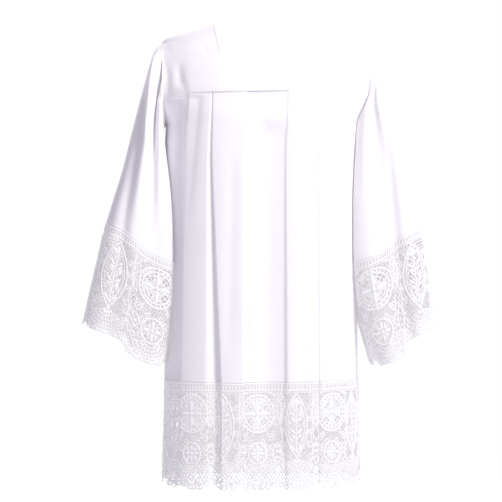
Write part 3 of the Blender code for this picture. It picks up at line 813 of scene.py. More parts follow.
@dataclass(frozen=True)
class SleeveForm:
    """A sleeve and its cuff lace: a surface over an angle round it and a station number down it."""

    hand: Hand
    body: BodyForm
    stations: tuple[Station, ...]
    folds: tuple[RingFold, ...]
    creases: tuple[RingFold, ...]
    lap: float
    lap_low: float = 7
    lap_at_cuff: float = 0
    lap_angle: float = 138
    lap_half_width: float = 34
    lap_places: Row = (0.1, 0.9, 3.4, 5, 7)
    clearance: float = 1.1
    tuck_in: float = 6
    tuck_down: float = 2
    seam_gap: float = 0.3
    seam_station: float = 5
    end_station: float = 7

    def armhole_ring(self, angle: Array) -> Array:
        """Points round the armhole's edge: two half ovals seen from the side.

        Args:
            angle: Angles, 0 at the shoulder and a right angle at the front.

        Returns:
            The points, with x as the distance from the middle.
        """
        body = self.body
        above = body.armhole_top - body.armhole_widest
        below = body.armhole_widest - body.underarm
        z = (body.armhole_widest + np.cos(angle) * np.where(np.cos(angle) > 0, above, below)) * MM
        x = body.half_width(z) + self.seam_gap * MM
        y = -body.armhole_half_depth * MM * np.sin(angle)
        return body.worn(self.hand.value * x, y, z) * [self.hand.value, 1, 1]

    def point(self, angle: Array, place: Array, lift: Array | float = 0) -> Array:
        """Points of the sleeve: Catmull-Rom curves through its rings, folded, then kept off the body.

        Args:
            angle: Angles round the sleeve.
            place: Station numbers down it; below 0 the seam allowance turns in under the yoke.
            lift: How far the points stand off the cloth, along the ring's radius.

        Returns:
            The points.
        """
        rings = [self.armhole_ring(angle)] + [station.ring(angle) for station in self.stations]
        stack = np.stack(rings).reshape(len(rings), -1, 3)
        last = len(self.stations)
        spot = np.clip(place, 0, self.end_station)
        first = np.minimum(np.floor(spot), last - 1).astype(int)
        share = (spot - first)[..., None]
        index = np.arange(angle.size).reshape(angle.shape)
        points = catmull_rom(*(stack[np.clip(first + step, 0, last), index] for step in (-1, 0, 1, 2)), share)
        radial = joined(np.cos(angle), -np.sin(angle), 0)
        points = points - radial * (self.fold_depth(angle, spot) - lift)[..., None]
        points = self.off_body(points - joined(self.lap_over(angle, spot), 0, 0), spot)
        tuck = np.clip(-place, 0, 1) * MM
        points = points - joined(self.tuck_in * tuck, 0, 0)
        points = points - radial[..., [2, 1, 0]] * (self.tuck_down * tuck)[..., None]
        return points * [self.hand.value, 1, 1]

    def fold_depth(self, angle: Array, place: Array) -> Array:
        """How far the folds push the cloth in: bells round the ring that grow down the sleeve.

        Args:
            angle: Angles round the sleeve.
            place: Station numbers down it.

        Returns:
            The depths in metres; a ridge's is negative.
        """
        total = np.zeros_like(angle)
        for fold in self.folds:
            share = np.clip(place / self.seam_station, 0, 1.2)
            total = total + self._bell(fold, angle, share) * smooth_step(share)
        for fold in self.creases:
            share = (place - fold.start) / (fold.grown - fold.start)
            fade = smooth_step(share) * smooth_step((fold.end - place) / max(fold.end - fold.grown, 0.1))
            total = total + self._bell(fold, angle, share) * fade
        return total

    def _bell(self, fold: RingFold, angle: Array, share: Array) -> Array:
        """A fold's bell round the ring, at shares of the way down the fold.

        Args:
            fold: The fold.
            angle: Angles round the sleeve.
            share: Shares of the way from the fold's top, held at a fifth past its grown end.

        Returns:
            The depths in metres.
        """
        share = np.clip(share, 0, 1.2)
        middle = fold.angle_top + (fold.angle_cuff - fold.angle_top) * share
        middle = np.radians(middle + fold.bow * 4 * share * (1 - share))
        away = (angle - middle + math.pi) % math.tau - math.pi
        return fold.depth * MM * np.exp(-((away / math.radians(fold.half_width)) ** 2))

    def lap_over(self, angle: Array, place: Array) -> Array:
        """How far the front inner part is drawn over the body: a bell round the ring, by station.

        Args:
            angle: Angles round the sleeve.
            place: Station numbers down it.

        Returns:
            The distances towards the middle.
        """
        laps = (0, self.lap, self.lap, self.lap_low, self.lap_at_cuff)
        lap = np.interp(place, self.lap_places, laps)
        away = np.degrees(angle % math.tau) - self.lap_angle
        return lap * MM * np.exp(-((away / self.lap_half_width) ** 2))

    def off_body(self, points: Array, place: Array) -> Array:
        """Move the inner side out of the body, to lie a little clear of its side.

        Args:
            points: Points of the sleeve, x as the distance from the middle.
            place: Station numbers.

        Returns:
            The points moved.
        """
        x = points[..., 0]
        limit = self.body.clear_side(points[..., 1], points[..., 2], self.hand)
        limit = limit + self.seam_gap * MM + self.clearance * MM * smooth_step(place)
        clear = np.where(place > 0, np.maximum(x, limit), x)
        return joined(clear, points[..., 1], points[..., 2])

    def girth(self, start: float, end: float, place: float) -> tuple[Array, Array]:
        """Angles from start to end, and the length of the ring up to each."""
        angle = np.linspace(start, end, 481)
        return angle, lengths_along(self.point(angle, np.full_like(angle, place)))


# Lace, drawn flat in mm: across from a column's middle and down from the seam


def closed_curve(points: Outline, rounds: int = 2) -> Array:
    """Round a closed outline: each round cuts every corner at a quarter of its sides.

    Args:
        points: The outline's corners.
        rounds: How many times the corners are cut.

    Returns:
        The rounded outline, not repeating its first point.
    """
    outline = np.array(points, dtype=float)
    for _ in range(rounds):
        ahead = np.roll(outline, -1, axis=0)
        outline = np.hstack([0.75 * outline + 0.25 * ahead, 0.25 * outline + 0.75 * ahead]).reshape(-1, 2)
    return outline


def open_curve(points: Outline) -> Array:
    """A smooth line through points: Catmull-Rom pieces, then even steps along their length.

    Args:
        points: Places that the line passes through.

    Returns:
        Points along the line.
    """
    knots = np.array(points, dtype=float)
    padded = np.concatenate([knots[:1] * 2 - knots[1:2], knots, knots[-1:] * 2 - knots[-2:-1]])
    t = np.linspace(0, 1, 12, endpoint=False)[None, :, None]
    ends = (padded[first : len(padded) - 3 + first, None] for first in range(4))
    fine = np.concatenate([catmull_rom(*ends, t).reshape(-1, 2), knots[-1:]])
    walked = lengths_along(fine)
    even = np.linspace(0, walked[-1], max(2, round(walked[-1] / CORD_STEP)) + 1)
    return interpolated(even, walked, fine)


def ring_curve(x: float, y: float, radius: float, spacing: float = CORD_STEP) -> Array:
    """A closed circle, not repeating its first point.

    Args:
        x: Middle, across.
        y: Middle, down.
        radius: Its radius.
        spacing: Length of a step.

    Returns:
        Points round it.
    """
    count = max(6, round(math.tau * radius / spacing))
    turn = full_turn(count)
    return joined(x + radius * np.cos(turn), y + radius * np.sin(turn))


def scroll_curve(x: float, y: float, radius: float, start: float, turns: float) -> Array:
    """A scroll: its radius shrinks evenly to a fifth as it turns.

    Args:
        x: Middle, across.
        y: Middle, down.
        radius: Radius at its outer end.
        start: Angle of its outer end, in degrees.
        turns: How many turns it makes; negative turns the other way.

    Returns:
        Points along it, from the outside in.
    """
    count = max(8, round(abs(turns) * math.tau * radius * 0.6 / 2))
    share = np.linspace(0, 1, count)
    turn = math.radians(start) + turns * math.tau * share
    size = radius * (1 - 0.8 * share)
    return joined(x + size * np.cos(turn), y + size * np.sin(turn))


def polar(radius: float, turn: float) -> Pair:
    """The place at a distance from the middle, in a direction given in degrees."""
    return radius * math.cos(math.radians(turn)), radius * math.sin(math.radians(turn))


@dataclass(frozen=True)
class Stroke:
    """A cord of the lace, drawn flat in mm."""

    points: Array
    radius: float
    closed: bool = False

    def placed(self, across: float, stretch: float) -> "Stroke":
        """The stroke in its column: stretched across, then moved to the column's middle."""
        return Stroke(self.points * [stretch, 1] + [across, 0], self.radius, self.closed)

    def runs(self, width: float) -> list["Stroke"]:
        """Cut the stroke at the lace's ends.

        Args:
            width: The lace's width.

        Returns:
            The stretches that lie on the lace.
        """
        across = self.points[:, 0]
        kept = (across > END_MARGIN) & (across < width - END_MARGIN)
        if kept.all():
            return [self]
        points = self.points
        if self.closed and kept.any():
            turned = -int(np.argmin(kept))
            points, kept = np.roll(points, turned, axis=0), np.roll(kept, turned)
        edges = np.flatnonzero(np.diff(np.concatenate([[0], kept.astype(int), [0]])))
        found = [points[low:high] for low, high in edges.reshape(-1, 2)]
        return [Stroke(run, self.radius) for run in found if len(run) > 2]


@dataclass(frozen=True)
class Petal:
    """A solidly worked petal or bead: middle, length, width and height in mm, turn in degrees."""

    x: float
    y: float
    length: float
    width: float
    turn: float
    height: float


@dataclass
class Motif:
    """One column of the lace, drawn about its middle line: its openings, cords and petals."""

    holes: list[Array] = field(default_factory=list)
    strokes: list[Stroke] = field(default_factory=list)
    petals: list[Petal] = field(default_factory=list)

    def hole(self, points: Outline, mirror: Sequence[tuple[int, int]], x: float = 0, y: float = 0) -> None:
        """Add an opening and its mirror images, each edged with a cord.

        Args:
            points: Its corners, which are rounded.
            mirror: The signs of each image, across and down.
            x: Where it is mirrored about, across.
            y: Where it is mirrored about, down.
        """
        for across, down in mirror:
            outline = closed_curve([(x + px * across, y + py * down) for px, py in points])
            self.holes.append(outline)
            self.cord(outline, 0.75, closed=True)

    def cord(self, points: Array, radius: float, closed: bool = False) -> None:
        """Add a cord."""
        self.strokes.append(Stroke(points, radius, closed))

    def ring(self, x: float, y: float, size: float, radius: float, spacing: float = CORD_STEP) -> None:
        """Add a ring of cord."""
        self.cord(ring_curve(x, y, size, spacing), radius, closed=True)

    def both(self, points: Array, radius: float) -> None:
        """Add a cord and its mirror image across the column."""
        self.cord(points, radius)
        self.cord(points * [-1, 1], radius)

    def petal(self, *sizes: float) -> None:
        """Add a petal, its sizes in the order of its fields."""
        self.petals.append(Petal(*sizes))

    def petal_pair(self, x: float, y: float, length: float, width: float, turn: float, height: float) -> None:
        """Add a petal and its mirror image across the column."""
        self.petal(x, y, length, width, turn, height)
        self.petal(-x, y, length, width, 180 - turn, height)


ALL_FOUR = ((-1, -1), (-1, 1), (1, -1), (1, 1))
LEFT_RIGHT = ((-1, 1), (1, 1))
AS_DRAWN = ((1, 1),)
SIDE_DIAMOND = ((-45, 88), (-35, 102), (-45, 117), (-54, 102))
EDGE_DIAMOND = ((-45, 164), (-38, 172), (-45, 181), (-52, 172))


def border_between(motif: Motif) -> None:
    """Cords and petals along the line where a column meets the one before it.

    Args:
        motif: The column that they join.
    """
    for y in (27, 38, 49, 60, 71):
        motif.ring(-HALF_COLUMN, y, 4.4, 1.1)
        motif.petal(-HALF_COLUMN, y, 4.6, 4.6, 0, 1.3)
    for sign in (-1, 1):
        for line in (((7.5, 22), (8.5, 48), (6, 76), (0, 86)), ((0, 119), (7, 128), (9, 146), (0, 161))):
            motif.cord(open_curve([(-HALF_COLUMN + sign * x, y) for x, y in line]), 1.3)
        for y, turn in ((126, 60), (137, 50), (148, 40)):
            motif.petal(-HALF_COLUMN + sign * 3.4, y, 9, 4.2, 90 - sign * (90 - turn), 1.3)


def fan(motif: Motif, y: float, radii: Sequence[float]) -> None:
    """A shell: arcs of cord that open downwards, with short petals standing between them.

    Args:
        motif: The column that it joins.
        y: Height of the arcs' middle.
        radii: The arcs' radii, from the inside out.
    """
    for radius in radii:
        turn = np.radians(np.linspace(14, 166, max(8, round(radius))))
        motif.cord(joined(radius * np.cos(turn), y + radius * np.sin(turn)), 1.35)
    for inner, outer in zip(radii[:-1], radii[1:]):
        middle = (inner + outer) / 2
        for turn in np.linspace(20, 160, round(middle / 1.9)):
            x, down = polar(middle, turn)
            motif.petal(x, y + down, 6.6, 3.1, turn, 1.2)


def cross_column() -> Motif:
    """The column with a plain cross in a wheel above a rosette and a shell.

    Returns:
        Its openings, cords and petals.
    """
    motif = Motif()
    wheel, rosette = 62, 140
    motif.hole(((6, 6), (27, 6), (21, 21), (6, 27)), ALL_FOUR, y=wheel)
    motif.hole(((4, 4), (14, 7), (15, 15), (7, 14)), ALL_FOUR, y=rosette)
    motif.hole(SIDE_DIAMOND, AS_DRAWN)
    motif.hole(EDGE_DIAMOND, AS_DRAWN)
    for size, radius in ((37.2, 2), (29.6, 1.5), (22.5, 0.9), (15.5, 0.9)):
        motif.ring(0, wheel, size, radius)
    steps = np.linspace(7, 29, 9)
    for turn in np.arange(22.5, 360, 22.5):
        x, y = polar(1, turn)
        motif.cord(joined(x * steps, wheel + y * steps), 0.75)
    for turn in np.arange(0, 360, 15):
        x, y = polar(33.4, turn)
        motif.petal(x, wheel + y, 6, 4.4, turn, 1.6)
    for turn in (0, 90, 180, 270):
        x, y = polar(1, turn)
        motif.petal(15.5 * x, wheel + 15.5 * y, 28, 9, turn, 1.9)
        motif.petal(10.5 * x, rosette + 10.5 * y, 15, 7, turn, 1.6)
        motif.petal(9.5 * (x - y) * 0.71, rosette + 9.5 * (x + y) * 0.71, 13, 3.4, turn + 45, 1.2)
    motif.petal(0, wheel, 10, 10, 0, 2.2)
    motif.petal(0, rosette, 8, 8, 0, 2)
    motif.ring(0, rosette, 20.8, 1.8)
    for turn in (*np.arange(-60, 61, 30), *np.arange(120, 241, 30)):
        x, y = polar(26, turn)
        motif.ring(x, rosette + y, 4.3, 1.1, spacing=2.8)
    motif.both(scroll_curve(31, 110, 8.6, -150, 1.5), 1.5)
    motif.both(open_curve([(21, 96.5), (24, 103), (22.8, 108.5)]), 1.4)
    motif.both(open_curve([(26, 134), (31.5, 125), (38, 121)]), 1.4)
    motif.both(scroll_curve(34, 158, 8, 150, -1.4), 1.5)
    beside = ((33.5, 134, 20), (35, 143, 0), (36.5, 25, 35), (29, 22.5, 15), (37, 97.5, -40), (39.6, 84, 75))
    for x, y, turn in beside:
        motif.petal_pair(x, y, 9, 4.8, turn, 1.4)
    fan(motif, 156, (12, 20, 28, 36))
    border_between(motif)
    return motif


def leaf_column() -> Motif:
    """The column with a leafy stem in a pointed oval, between scrolls and above a palmette.

    Returns:
        Its openings, cords and petals.
    """
    motif = Motif()
    pairs = ((51, 0.78), (84, 1), (117, 0.78))
    leaf = ((4, -6), (14, -13), (17, 2), (6, 11))
    for y, narrow in pairs:
        motif.hole([(x * narrow, down) for x, down in leaf], LEFT_RIGHT, y=y)
        vein = [(5 * narrow, y + 5), (10 * narrow, y - 1), (16 * narrow, y - 4)]
        motif.both(open_curve(vein), 0.8)
    for x, y in ((33, 26), (31, 148)):
        motif.hole([(x - 7, 0), (x, -10), (x + 7, 0), (x, 10)], LEFT_RIGHT, y=y)
        motif.both(joined(x, np.linspace(y - 9, y + 9, 6)), 0.8)
    motif.hole(EDGE_DIAMOND, AS_DRAWN)
    oval = [(0, 22), (13.5, 40), (22, 62), (24.6, 84), (22, 106), (13.5, 128), (0, 147)]
    inner = [(0, 30), (9.5, 45), (16.4, 64), (19, 84), (16.4, 104), (9.5, 123), (0, 138)]
    motif.both(open_curve(oval), 1.9)
    motif.both(open_curve(inner), 1.2)
    motif.cord(open_curve([(0, 30), (0, 84), (0, 138)]), 1.4)
    for y, _ in pairs:
        motif.petal_pair(8, y + 12.5, 15, 5.8, -40, 1.6)
        motif.petal_pair(7, y - 10.5, 13, 5.8, -35, 1.6)
    motif.petal(0, 38, 14, 7, 90, 1.7)
    scrolls = ((50, 8, 120, 1.5), (72, 6.6, -120, -1.4), (98, 6.6, 120, 1.4), (122, 8.2, -120, -1.5))
    for y, radius, start, turns in scrolls:
        motif.both(scroll_curve(31.5, y, radius, start, turns), 1.45)
    stem = [(36, 18), (38.5, 44), (33.5, 61), (38, 84), (33.5, 110), (38.5, 132), (30, 166)]
    motif.both(open_curve(stem), 1.3)
    fan(motif, 150, (14, 22, 30, 38))
    for turn in (-64, -32, 0, 32, 64):
        x, y = polar(7.5, 90 - turn)
        motif.petal(x, 150 + y, 10, 4.4, 90 - turn, 1.6)
    motif.petal(0, 149, 6.5, 6.5, 0, 1.9)
    border_between(motif)
    return motif


@dataclass(frozen=True)
class LaceDesign:
    """A length of lace drawn flat: columns of motifs, a ladder along the top and a scalloped foot.

    A column's tip hangs lowest at its middle; the first and last columns are half columns.
    """

    width: float
    columns: int
    first_motif: int
    scallops: Row
    scallop: float = 19
    scallop_power: float = 0.8
    tuck: float = 4
    edge_margin: float = 3
    foot_margin: float = 2.5
    hole_margin: float = 1.8
    grid_across: float = 4.2
    grid_down: float = 5.2
    rails: tuple[Pair, ...] = ((2.6, 1.7), (15.6, 1.6), (19.6, 0.9))
    rail_step: float = 2.6
    rungs: Row = (4, 9, 14.6)
    rung_radius: float = 1.25
    rung_pitch: float = 6.4
    foot_cords: tuple[Pair, ...] = ((0.9, 1.6), (5.6, 1.2), (12.4, 1.1))
    picot_pitch: float = 12.4

    def foot(self, across: Array) -> Array:
        """Depth of the lower edge: the depth less a scallop that grows away from the tips.

        Args:
            across: Places across.

        Returns:
            The depths there.
        """
        place = np.clip(across / self.width, 0, 1) * self.columns
        wave = np.abs(np.cos(place * math.pi)) ** self.scallop_power
        share = np.take(self.scallops, np.floor(place).astype(int), mode="wrap")
        return LACE_DEPTH - self.scallop * share * (1 - wave)

    def motifs(self) -> list[tuple[Motif, float, float]]:
        """Each column's motif, its middle and its stretch across.

        Returns:
            One triple for each column.
        """
        drawn = (cross_column(), leaf_column())
        pitch = self.width / self.columns
        stretch = pitch / (2 * HALF_COLUMN)
        return [(drawn[(k + self.first_motif) % 2], k * pitch, stretch) for k in range(self.columns + 1)]

    def holes(self) -> list[Array]:
        """Openings that lie wholly on the lace.

        Returns:
            Their outlines.
        """
        placed = [hole * [stretch, 1] + [x, 0] for motif, x, stretch in self.motifs() for hole in motif.holes]
        low, high = self.edge_margin, self.width - self.edge_margin
        return [hole for hole in placed if low < hole[:, 0].min() and hole[:, 0].max() < high]

    def sheet(self) -> tuple[Array, Array]:
        """Triangles of the flat lace between its openings.

        The outline, the openings and an even grid of inner points are joined by Delaunay triangles, and
        those in the openings are left out.

        Returns:
            The flat points and the triangles.
        """
        holes = self.holes()
        across = np.linspace(0, self.width, max(2, round(self.width / self.grid_across)) + 1)
        outline = np.concatenate([joined(across, -self.tuck), joined(across, self.foot(across))[::-1]])
        x, y = (grid.ravel() for grid in np.meshgrid(across[1:-1], np.arange(0, LACE_DEPTH, self.grid_down)))
        kept = y < self.foot(x) - self.foot_margin
        for hole in holes:
            away = np.hypot(x[:, None] - hole[:, 0], y[:, None] - hole[:, 1]).min(axis=1)
            kept &= (away > self.hole_margin) & ~inside(x, y, hole)
        loops = [outline, *holes]
        edges = []
        for start, loop in zip(np.cumsum([0] + [len(loop) for loop in loops]), loops):
            turn = np.arange(len(loop))
            edges += joined(start + turn, start + (turn + 1) % len(loop)).tolist()
        points = np.concatenate([*loops, joined(x[kept], y[kept])])
        found = delaunay_2d_cdt([Vector(point) for point in points.tolist()], edges, [], 0, 0.01)
        flat, triangles = (np.array([tuple(part) for part in found[k]]) for k in (0, 2))
        middle = flat[triangles].mean(axis=1)
        on_lace = inside(middle[:, 0], middle[:, 1], outline)
        for hole in holes:
            on_lace &= ~inside(middle[:, 0], middle[:, 1], hole)
        return flat, triangles[on_lace]

    def strokes(self) -> list[Stroke]:
        """Every cord of the lace: the motifs', the ladder's and the foot's.

        Returns:
            The stretches that lie on the lace.
        """
        found = [stroke.placed(x, stretch) for motif, x, stretch in self.motifs() for stroke in motif.strokes]
        along = np.arange(0.6, self.width - 0.5, self.rail_step)
        found += [Stroke(joined(along, y), radius) for y, radius in self.rails]
        for x in np.arange(2.6, self.width - 2, self.rung_pitch):
            found.append(Stroke(joined(x, self.rungs), self.rung_radius))
        found += [Stroke(joined(along, self.foot(along) - rise), radius) for rise, radius in self.foot_cords]
        return [run for stroke in found + self.picots() for run in stroke.runs(self.width)]

    def picots(self) -> list[Stroke]:
        """Rings and scrolls along the foot, the largest at the tips of the scallops.

        Returns:
            Their cords.
        """
        found = []
        for x in np.arange(5.2, self.width - 4, self.picot_pitch):
            found.append(Stroke(ring_curve(x, self.foot(x) + 2.2, 4.9, spacing=2.9), 1.5, closed=True))
        tips = ((0, 8.6, 1.2), (-0.2, 10.4, -1.4), (0.2, 10.4, 1.4), (-0.4, 7.4, -1.3), (0.4, 7.4, 1.3))
        pitch = self.width / self.columns
        for place in range(self.columns + 1):
            for away, radius, turns in tips:
                x = (place + away) * pitch
                if 0 <= x <= self.width:
                    start = 90 - math.copysign(70, turns)
                    found.append(Stroke(scroll_curve(x, self.foot(x) - 1, radius, start, turns), 2))
        return found

    def petals(self) -> list[Petal]:
        """Every petal that lies wholly on the lace.

        Returns:
            The petals.
        """
        placed = [
            replace(petal, x=middle + petal.x * stretch)
            for motif, middle, stretch in self.motifs()
            for petal in motif.petals
        ]
        return [petal for petal in placed if petal.length / 2 < petal.x < self.width - petal.length / 2]


def inside(x: Array, y: Array, outline: Array) -> Array:
    """Which places lie inside an outline, by the edges that a level line crosses.

    Args:
        x: Places across.
        y: Places down.
        outline: The outline's corners.

    Returns:
        True for each place inside it.
    """
    start, end = outline, np.roll(outline, -1, axis=0)
    spans = (start[:, 1] > y[:, None]) != (end[:, 1] > y[:, None])
    rise = np.where(end[:, 1] != start[:, 1], end[:, 1] - start[:, 1], 1)
    cut = start[:, 0] + (y[:, None] - start[:, 1]) / rise * (end[:, 0] - start[:, 0])
    return (spans & (x[:, None] < cut)).sum(axis=1) % 2 == 1


def surface_normals(surface: Surface, first: Array, second: Array, outward: int, steps: Pair) -> Array:
    """Normals of a surface: its change over the first number turned towards that over the second.

    Args:
        surface: The surface.
        first: Its first numbers, across in metres on lace.
        second: Its second numbers, down in metres on lace.
        outward: 1 or -1, so that the normals point out of the garment.
        steps: Half the change of each number that is measured over.

    Returns:
        A unit normal for each place.
    """
    wide = surface(first + steps[0], second) - surface(first - steps[0], second)
    tall = surface(first, second + steps[1]) - surface(first, second - steps[1])
    return unit(np.cross(wide, tall)) * outward


@dataclass(frozen=True)
class LaceWork:
    """Lays a lace design on a surface: the net with its openings, its cords and its petals."""

    name: str
    design: LaceDesign
    surface: Surface
    outward: int
    thick: float = 0.7
    cord_sides: int = 5
    thin_sides: int = 4
    thin_below: float = 1.25
    cord_flatness: float = 0.72
    cord_rise: float = 0.3
    petal_sides: int = 8
    petal_point: float = 0.25
    petal_top: Pair = (0.6, 0.78)
    petal_below: float = -0.8
    step: float = 0.8

    def build(self) -> tuple[Piece, Piece, Piece]:
        """Build the net, the cords and the petals."""
        return self.net(), self.cords(), self.petals()

    def laid(self, flat: Array) -> tuple[Array, Array]:
        """Points and normals of the surface at flat places in mm.

        Args:
            flat: The places, across and down.

        Returns:
            The points and the normals.
        """
        across, down = flat[:, 0] * MM, flat[:, 1] * MM
        steps = (self.step * MM, self.step * MM)
        return self.surface(across, down), surface_normals(self.surface, across, down, self.outward, steps)

    def net(self) -> Piece:
        """The net: flat triangles laid on the surface and given their thickness.

        Returns:
            The net as one piece.
        """
        flat, triangles = self.design.sheet()
        points, normals = self.laid(flat)
        corners = flat[triangles]
        one, two = corners[:, 1] - corners[:, 0], corners[:, 2] - corners[:, 0]
        sense = (one[:, 0] * two[:, 1] - one[:, 1] * two[:, 0]) * self.outward
        faces = np.where(sense[:, None] > 0, triangles, triangles[:, ::-1])
        parts = MeshParts()
        wall(parts, points + normals * self.thick / 2 * MM, normals, faces, flat * MM, self.thick * MM)
        return parts.build(self.name)

    def cords(self) -> Piece:
        """The raised cords: tubes along the strokes, their middles in the middle of the net.

        Returns:
            The cords as one piece.
        """
        strokes = self.design.strokes()
        points, normals = self.laid(np.concatenate([stroke.points for stroke in strokes]))
        middles = points + normals * self.cord_rise * MM
        parts, start = MeshParts(), 0
        for stroke in strokes:
            run = slice(start, start + len(stroke.points))
            sides = self.cord_sides if stroke.radius > self.thin_below else self.thin_sides
            section = (stroke.radius * MM, self.cord_flatness, stroke.closed)
            add_strand(parts, Strand(middles[run], normals[run], *section), sides)
            start = run.stop
        return parts.build(f"{self.name}_cords", smooth_angle=80)

    def petals(self) -> Piece:
        """The worked petals: pointed lenses, all placed at once.

        Each is two fans with a ring between its rim and its top, at a share of its size and height; the
        rim is an oval whose width is drawn in at its ends.

        Returns:
            The petals as one piece.
        """
        petals, sides = self.design.petals(), self.petal_sides
        size, height = self.petal_top
        rows = np.array([(p.x, p.y, p.length / 2, p.width / 2, p.turn, p.height) for p in petals])
        turn = full_turn(sides)
        rim = joined(np.cos(turn), np.sin(turn) * np.abs(np.sin(turn)) ** self.petal_point)
        shape = np.concatenate([[(0, 0)], rim * size, rim, [(0, 0)]])
        rise = np.concatenate([[1], np.full(sides, height), np.zeros(sides), [self.petal_below]])
        local = shape[None] * rows[:, None, 2:4]
        cosine, sine = np.cos(np.radians(rows[:, 4:5])), np.sin(np.radians(rows[:, 4:5]))
        x = rows[:, 0:1] + cosine * local[..., 0] - sine * local[..., 1]
        y = rows[:, 1:2] + sine * local[..., 0] + cosine * local[..., 1]
        points, normals = self.laid(joined(x, y).reshape(-1, 2))
        points = points + normals * (rise * rows[:, 5:6] * MM).reshape(-1, 1)
        number, ahead = 1 + np.arange(sides), 1 + (np.arange(sides) + 1) % sides
        tops = joined(0, number, ahead)
        middle = joined(number, sides + number, sides + ahead, ahead)
        bottoms = joined(2 * sides + 1, sides + ahead, sides + number)
        step = (np.arange(len(petals)) * len(shape))[:, None, None]
        turned = [face[None, :, :: self.outward] + step for face in (tops, middle, bottoms)]
        faces = [face.reshape(-1, face.shape[-1]) for face in turned]
        parts = MeshParts()
        parts.add(points, faces, local * MM)
        return parts.build(f"{self.name}_petals", smooth_angle=75)


@dataclass(frozen=True)
class StitchRows:
    """Rows of machine stitches: each a slim pointed bead with six points."""

    name: str
    pitch: float = 3.1
    length: float = 2.3
    width: float = 0.55
    height: float = 0.35

    def build(self, rows: Sequence[tuple[Array, Array]]) -> Piece:
        """Lay stitches along rows: even steps along each path, every bead turned along it.

        Args:
            rows: The path and the cloth's normals of each row.

        Returns:
            The stitches as one piece.
        """
        found = []
        for path, normals in rows:
            walked = lengths_along(path)
            spots = np.arange(self.pitch / 2, walked[-1] / MM, self.pitch) * MM
            back, middle, ahead = (interpolated(spots + step, walked, path) for step in (-MM, 0, MM))
            found.append((middle, unit(ahead - back), unit(interpolated(spots, walked, normals))))
        middle, forward, up = (np.concatenate(part) for part in zip(*found))
        beside = unit(np.cross(forward, up))
        half = np.repeat([self.length, self.width, self.height], 2) * MM / 2
        sign = np.array([1, -1, 1, -1, 1.6, -1])
        axes = np.stack([forward, forward, beside, beside, up, up], axis=1)
        points = middle[:, None] + axes * (half * sign)[None, :, None]
        upper = [(0, 4, 2), (2, 4, 1), (1, 4, 3), (3, 4, 0)]
        lower = [(0, 2, 5), (2, 1, 5), (1, 3, 5), (3, 0, 5)]
        faces = np.array(upper + lower)
        numbered = (faces[None] + (np.arange(len(middle)) * 6)[:, None, None]).reshape(-1, 3)
        parts = MeshParts()
        parts.add(points, [numbered], np.zeros((len(middle) * 6, 2)))
        return parts.build(self.name, smooth_angle=80)


# Finishes


class Signal:
    """A number that varies over a surface: a socket of a material's nodes."""

    def __init__(self, kit: "NodeKit", socket: Socket) -> None:
        self.kit = kit
        self.socket = socket

    def __add__(self, other: "Signal | float") -> "Signal":
        """This plus the other."""
        return self.kit.math("ADD", self, other)

    __radd__ = __add__

    def __sub__(self, other: "Signal | float") -> "Signal":
        """This less the other."""
        return self.kit.math("SUBTRACT", self, other)

    def __rsub__(self, other: float) -> "Signal":
        """The other less this."""
        return self.kit.math("SUBTRACT", other, self)

    def __mul__(self, other: "Signal | float") -> "Signal":
        """This times the other."""
        return self.kit.math("MULTIPLY", self, other)

    __rmul__ = __mul__

    def __truediv__(self, other: "Signal | float") -> "Signal":
        """This over the other."""
        return self.kit.math("DIVIDE", self, other)

    def __lt__(self, other: "Signal | float") -> "Signal":
        """1 where this is below the other, else 0."""
        return self.kit.math("LESS_THAN", self, other)

    def sine(self) -> "Signal":
        """The sine of this, in radians."""
        return self.kit.math("SINE", self)

    def fraction(self) -> "Signal":
        """What is left of this past a whole number."""
        return self.kit.math("FRACT", self)

    def size(self) -> "Signal":
        """This without its sign."""
        return self.kit.math("ABSOLUTE", self)

    def least(self, other: "Signal | float") -> "Signal":
        """The smaller of this and the other."""
        return self.kit.math("MINIMUM", self, other)

    def most(self, other: "Signal | float") -> "Signal":
        """The larger of this and the other."""
        return self.kit.math("MAXIMUM", self, other)


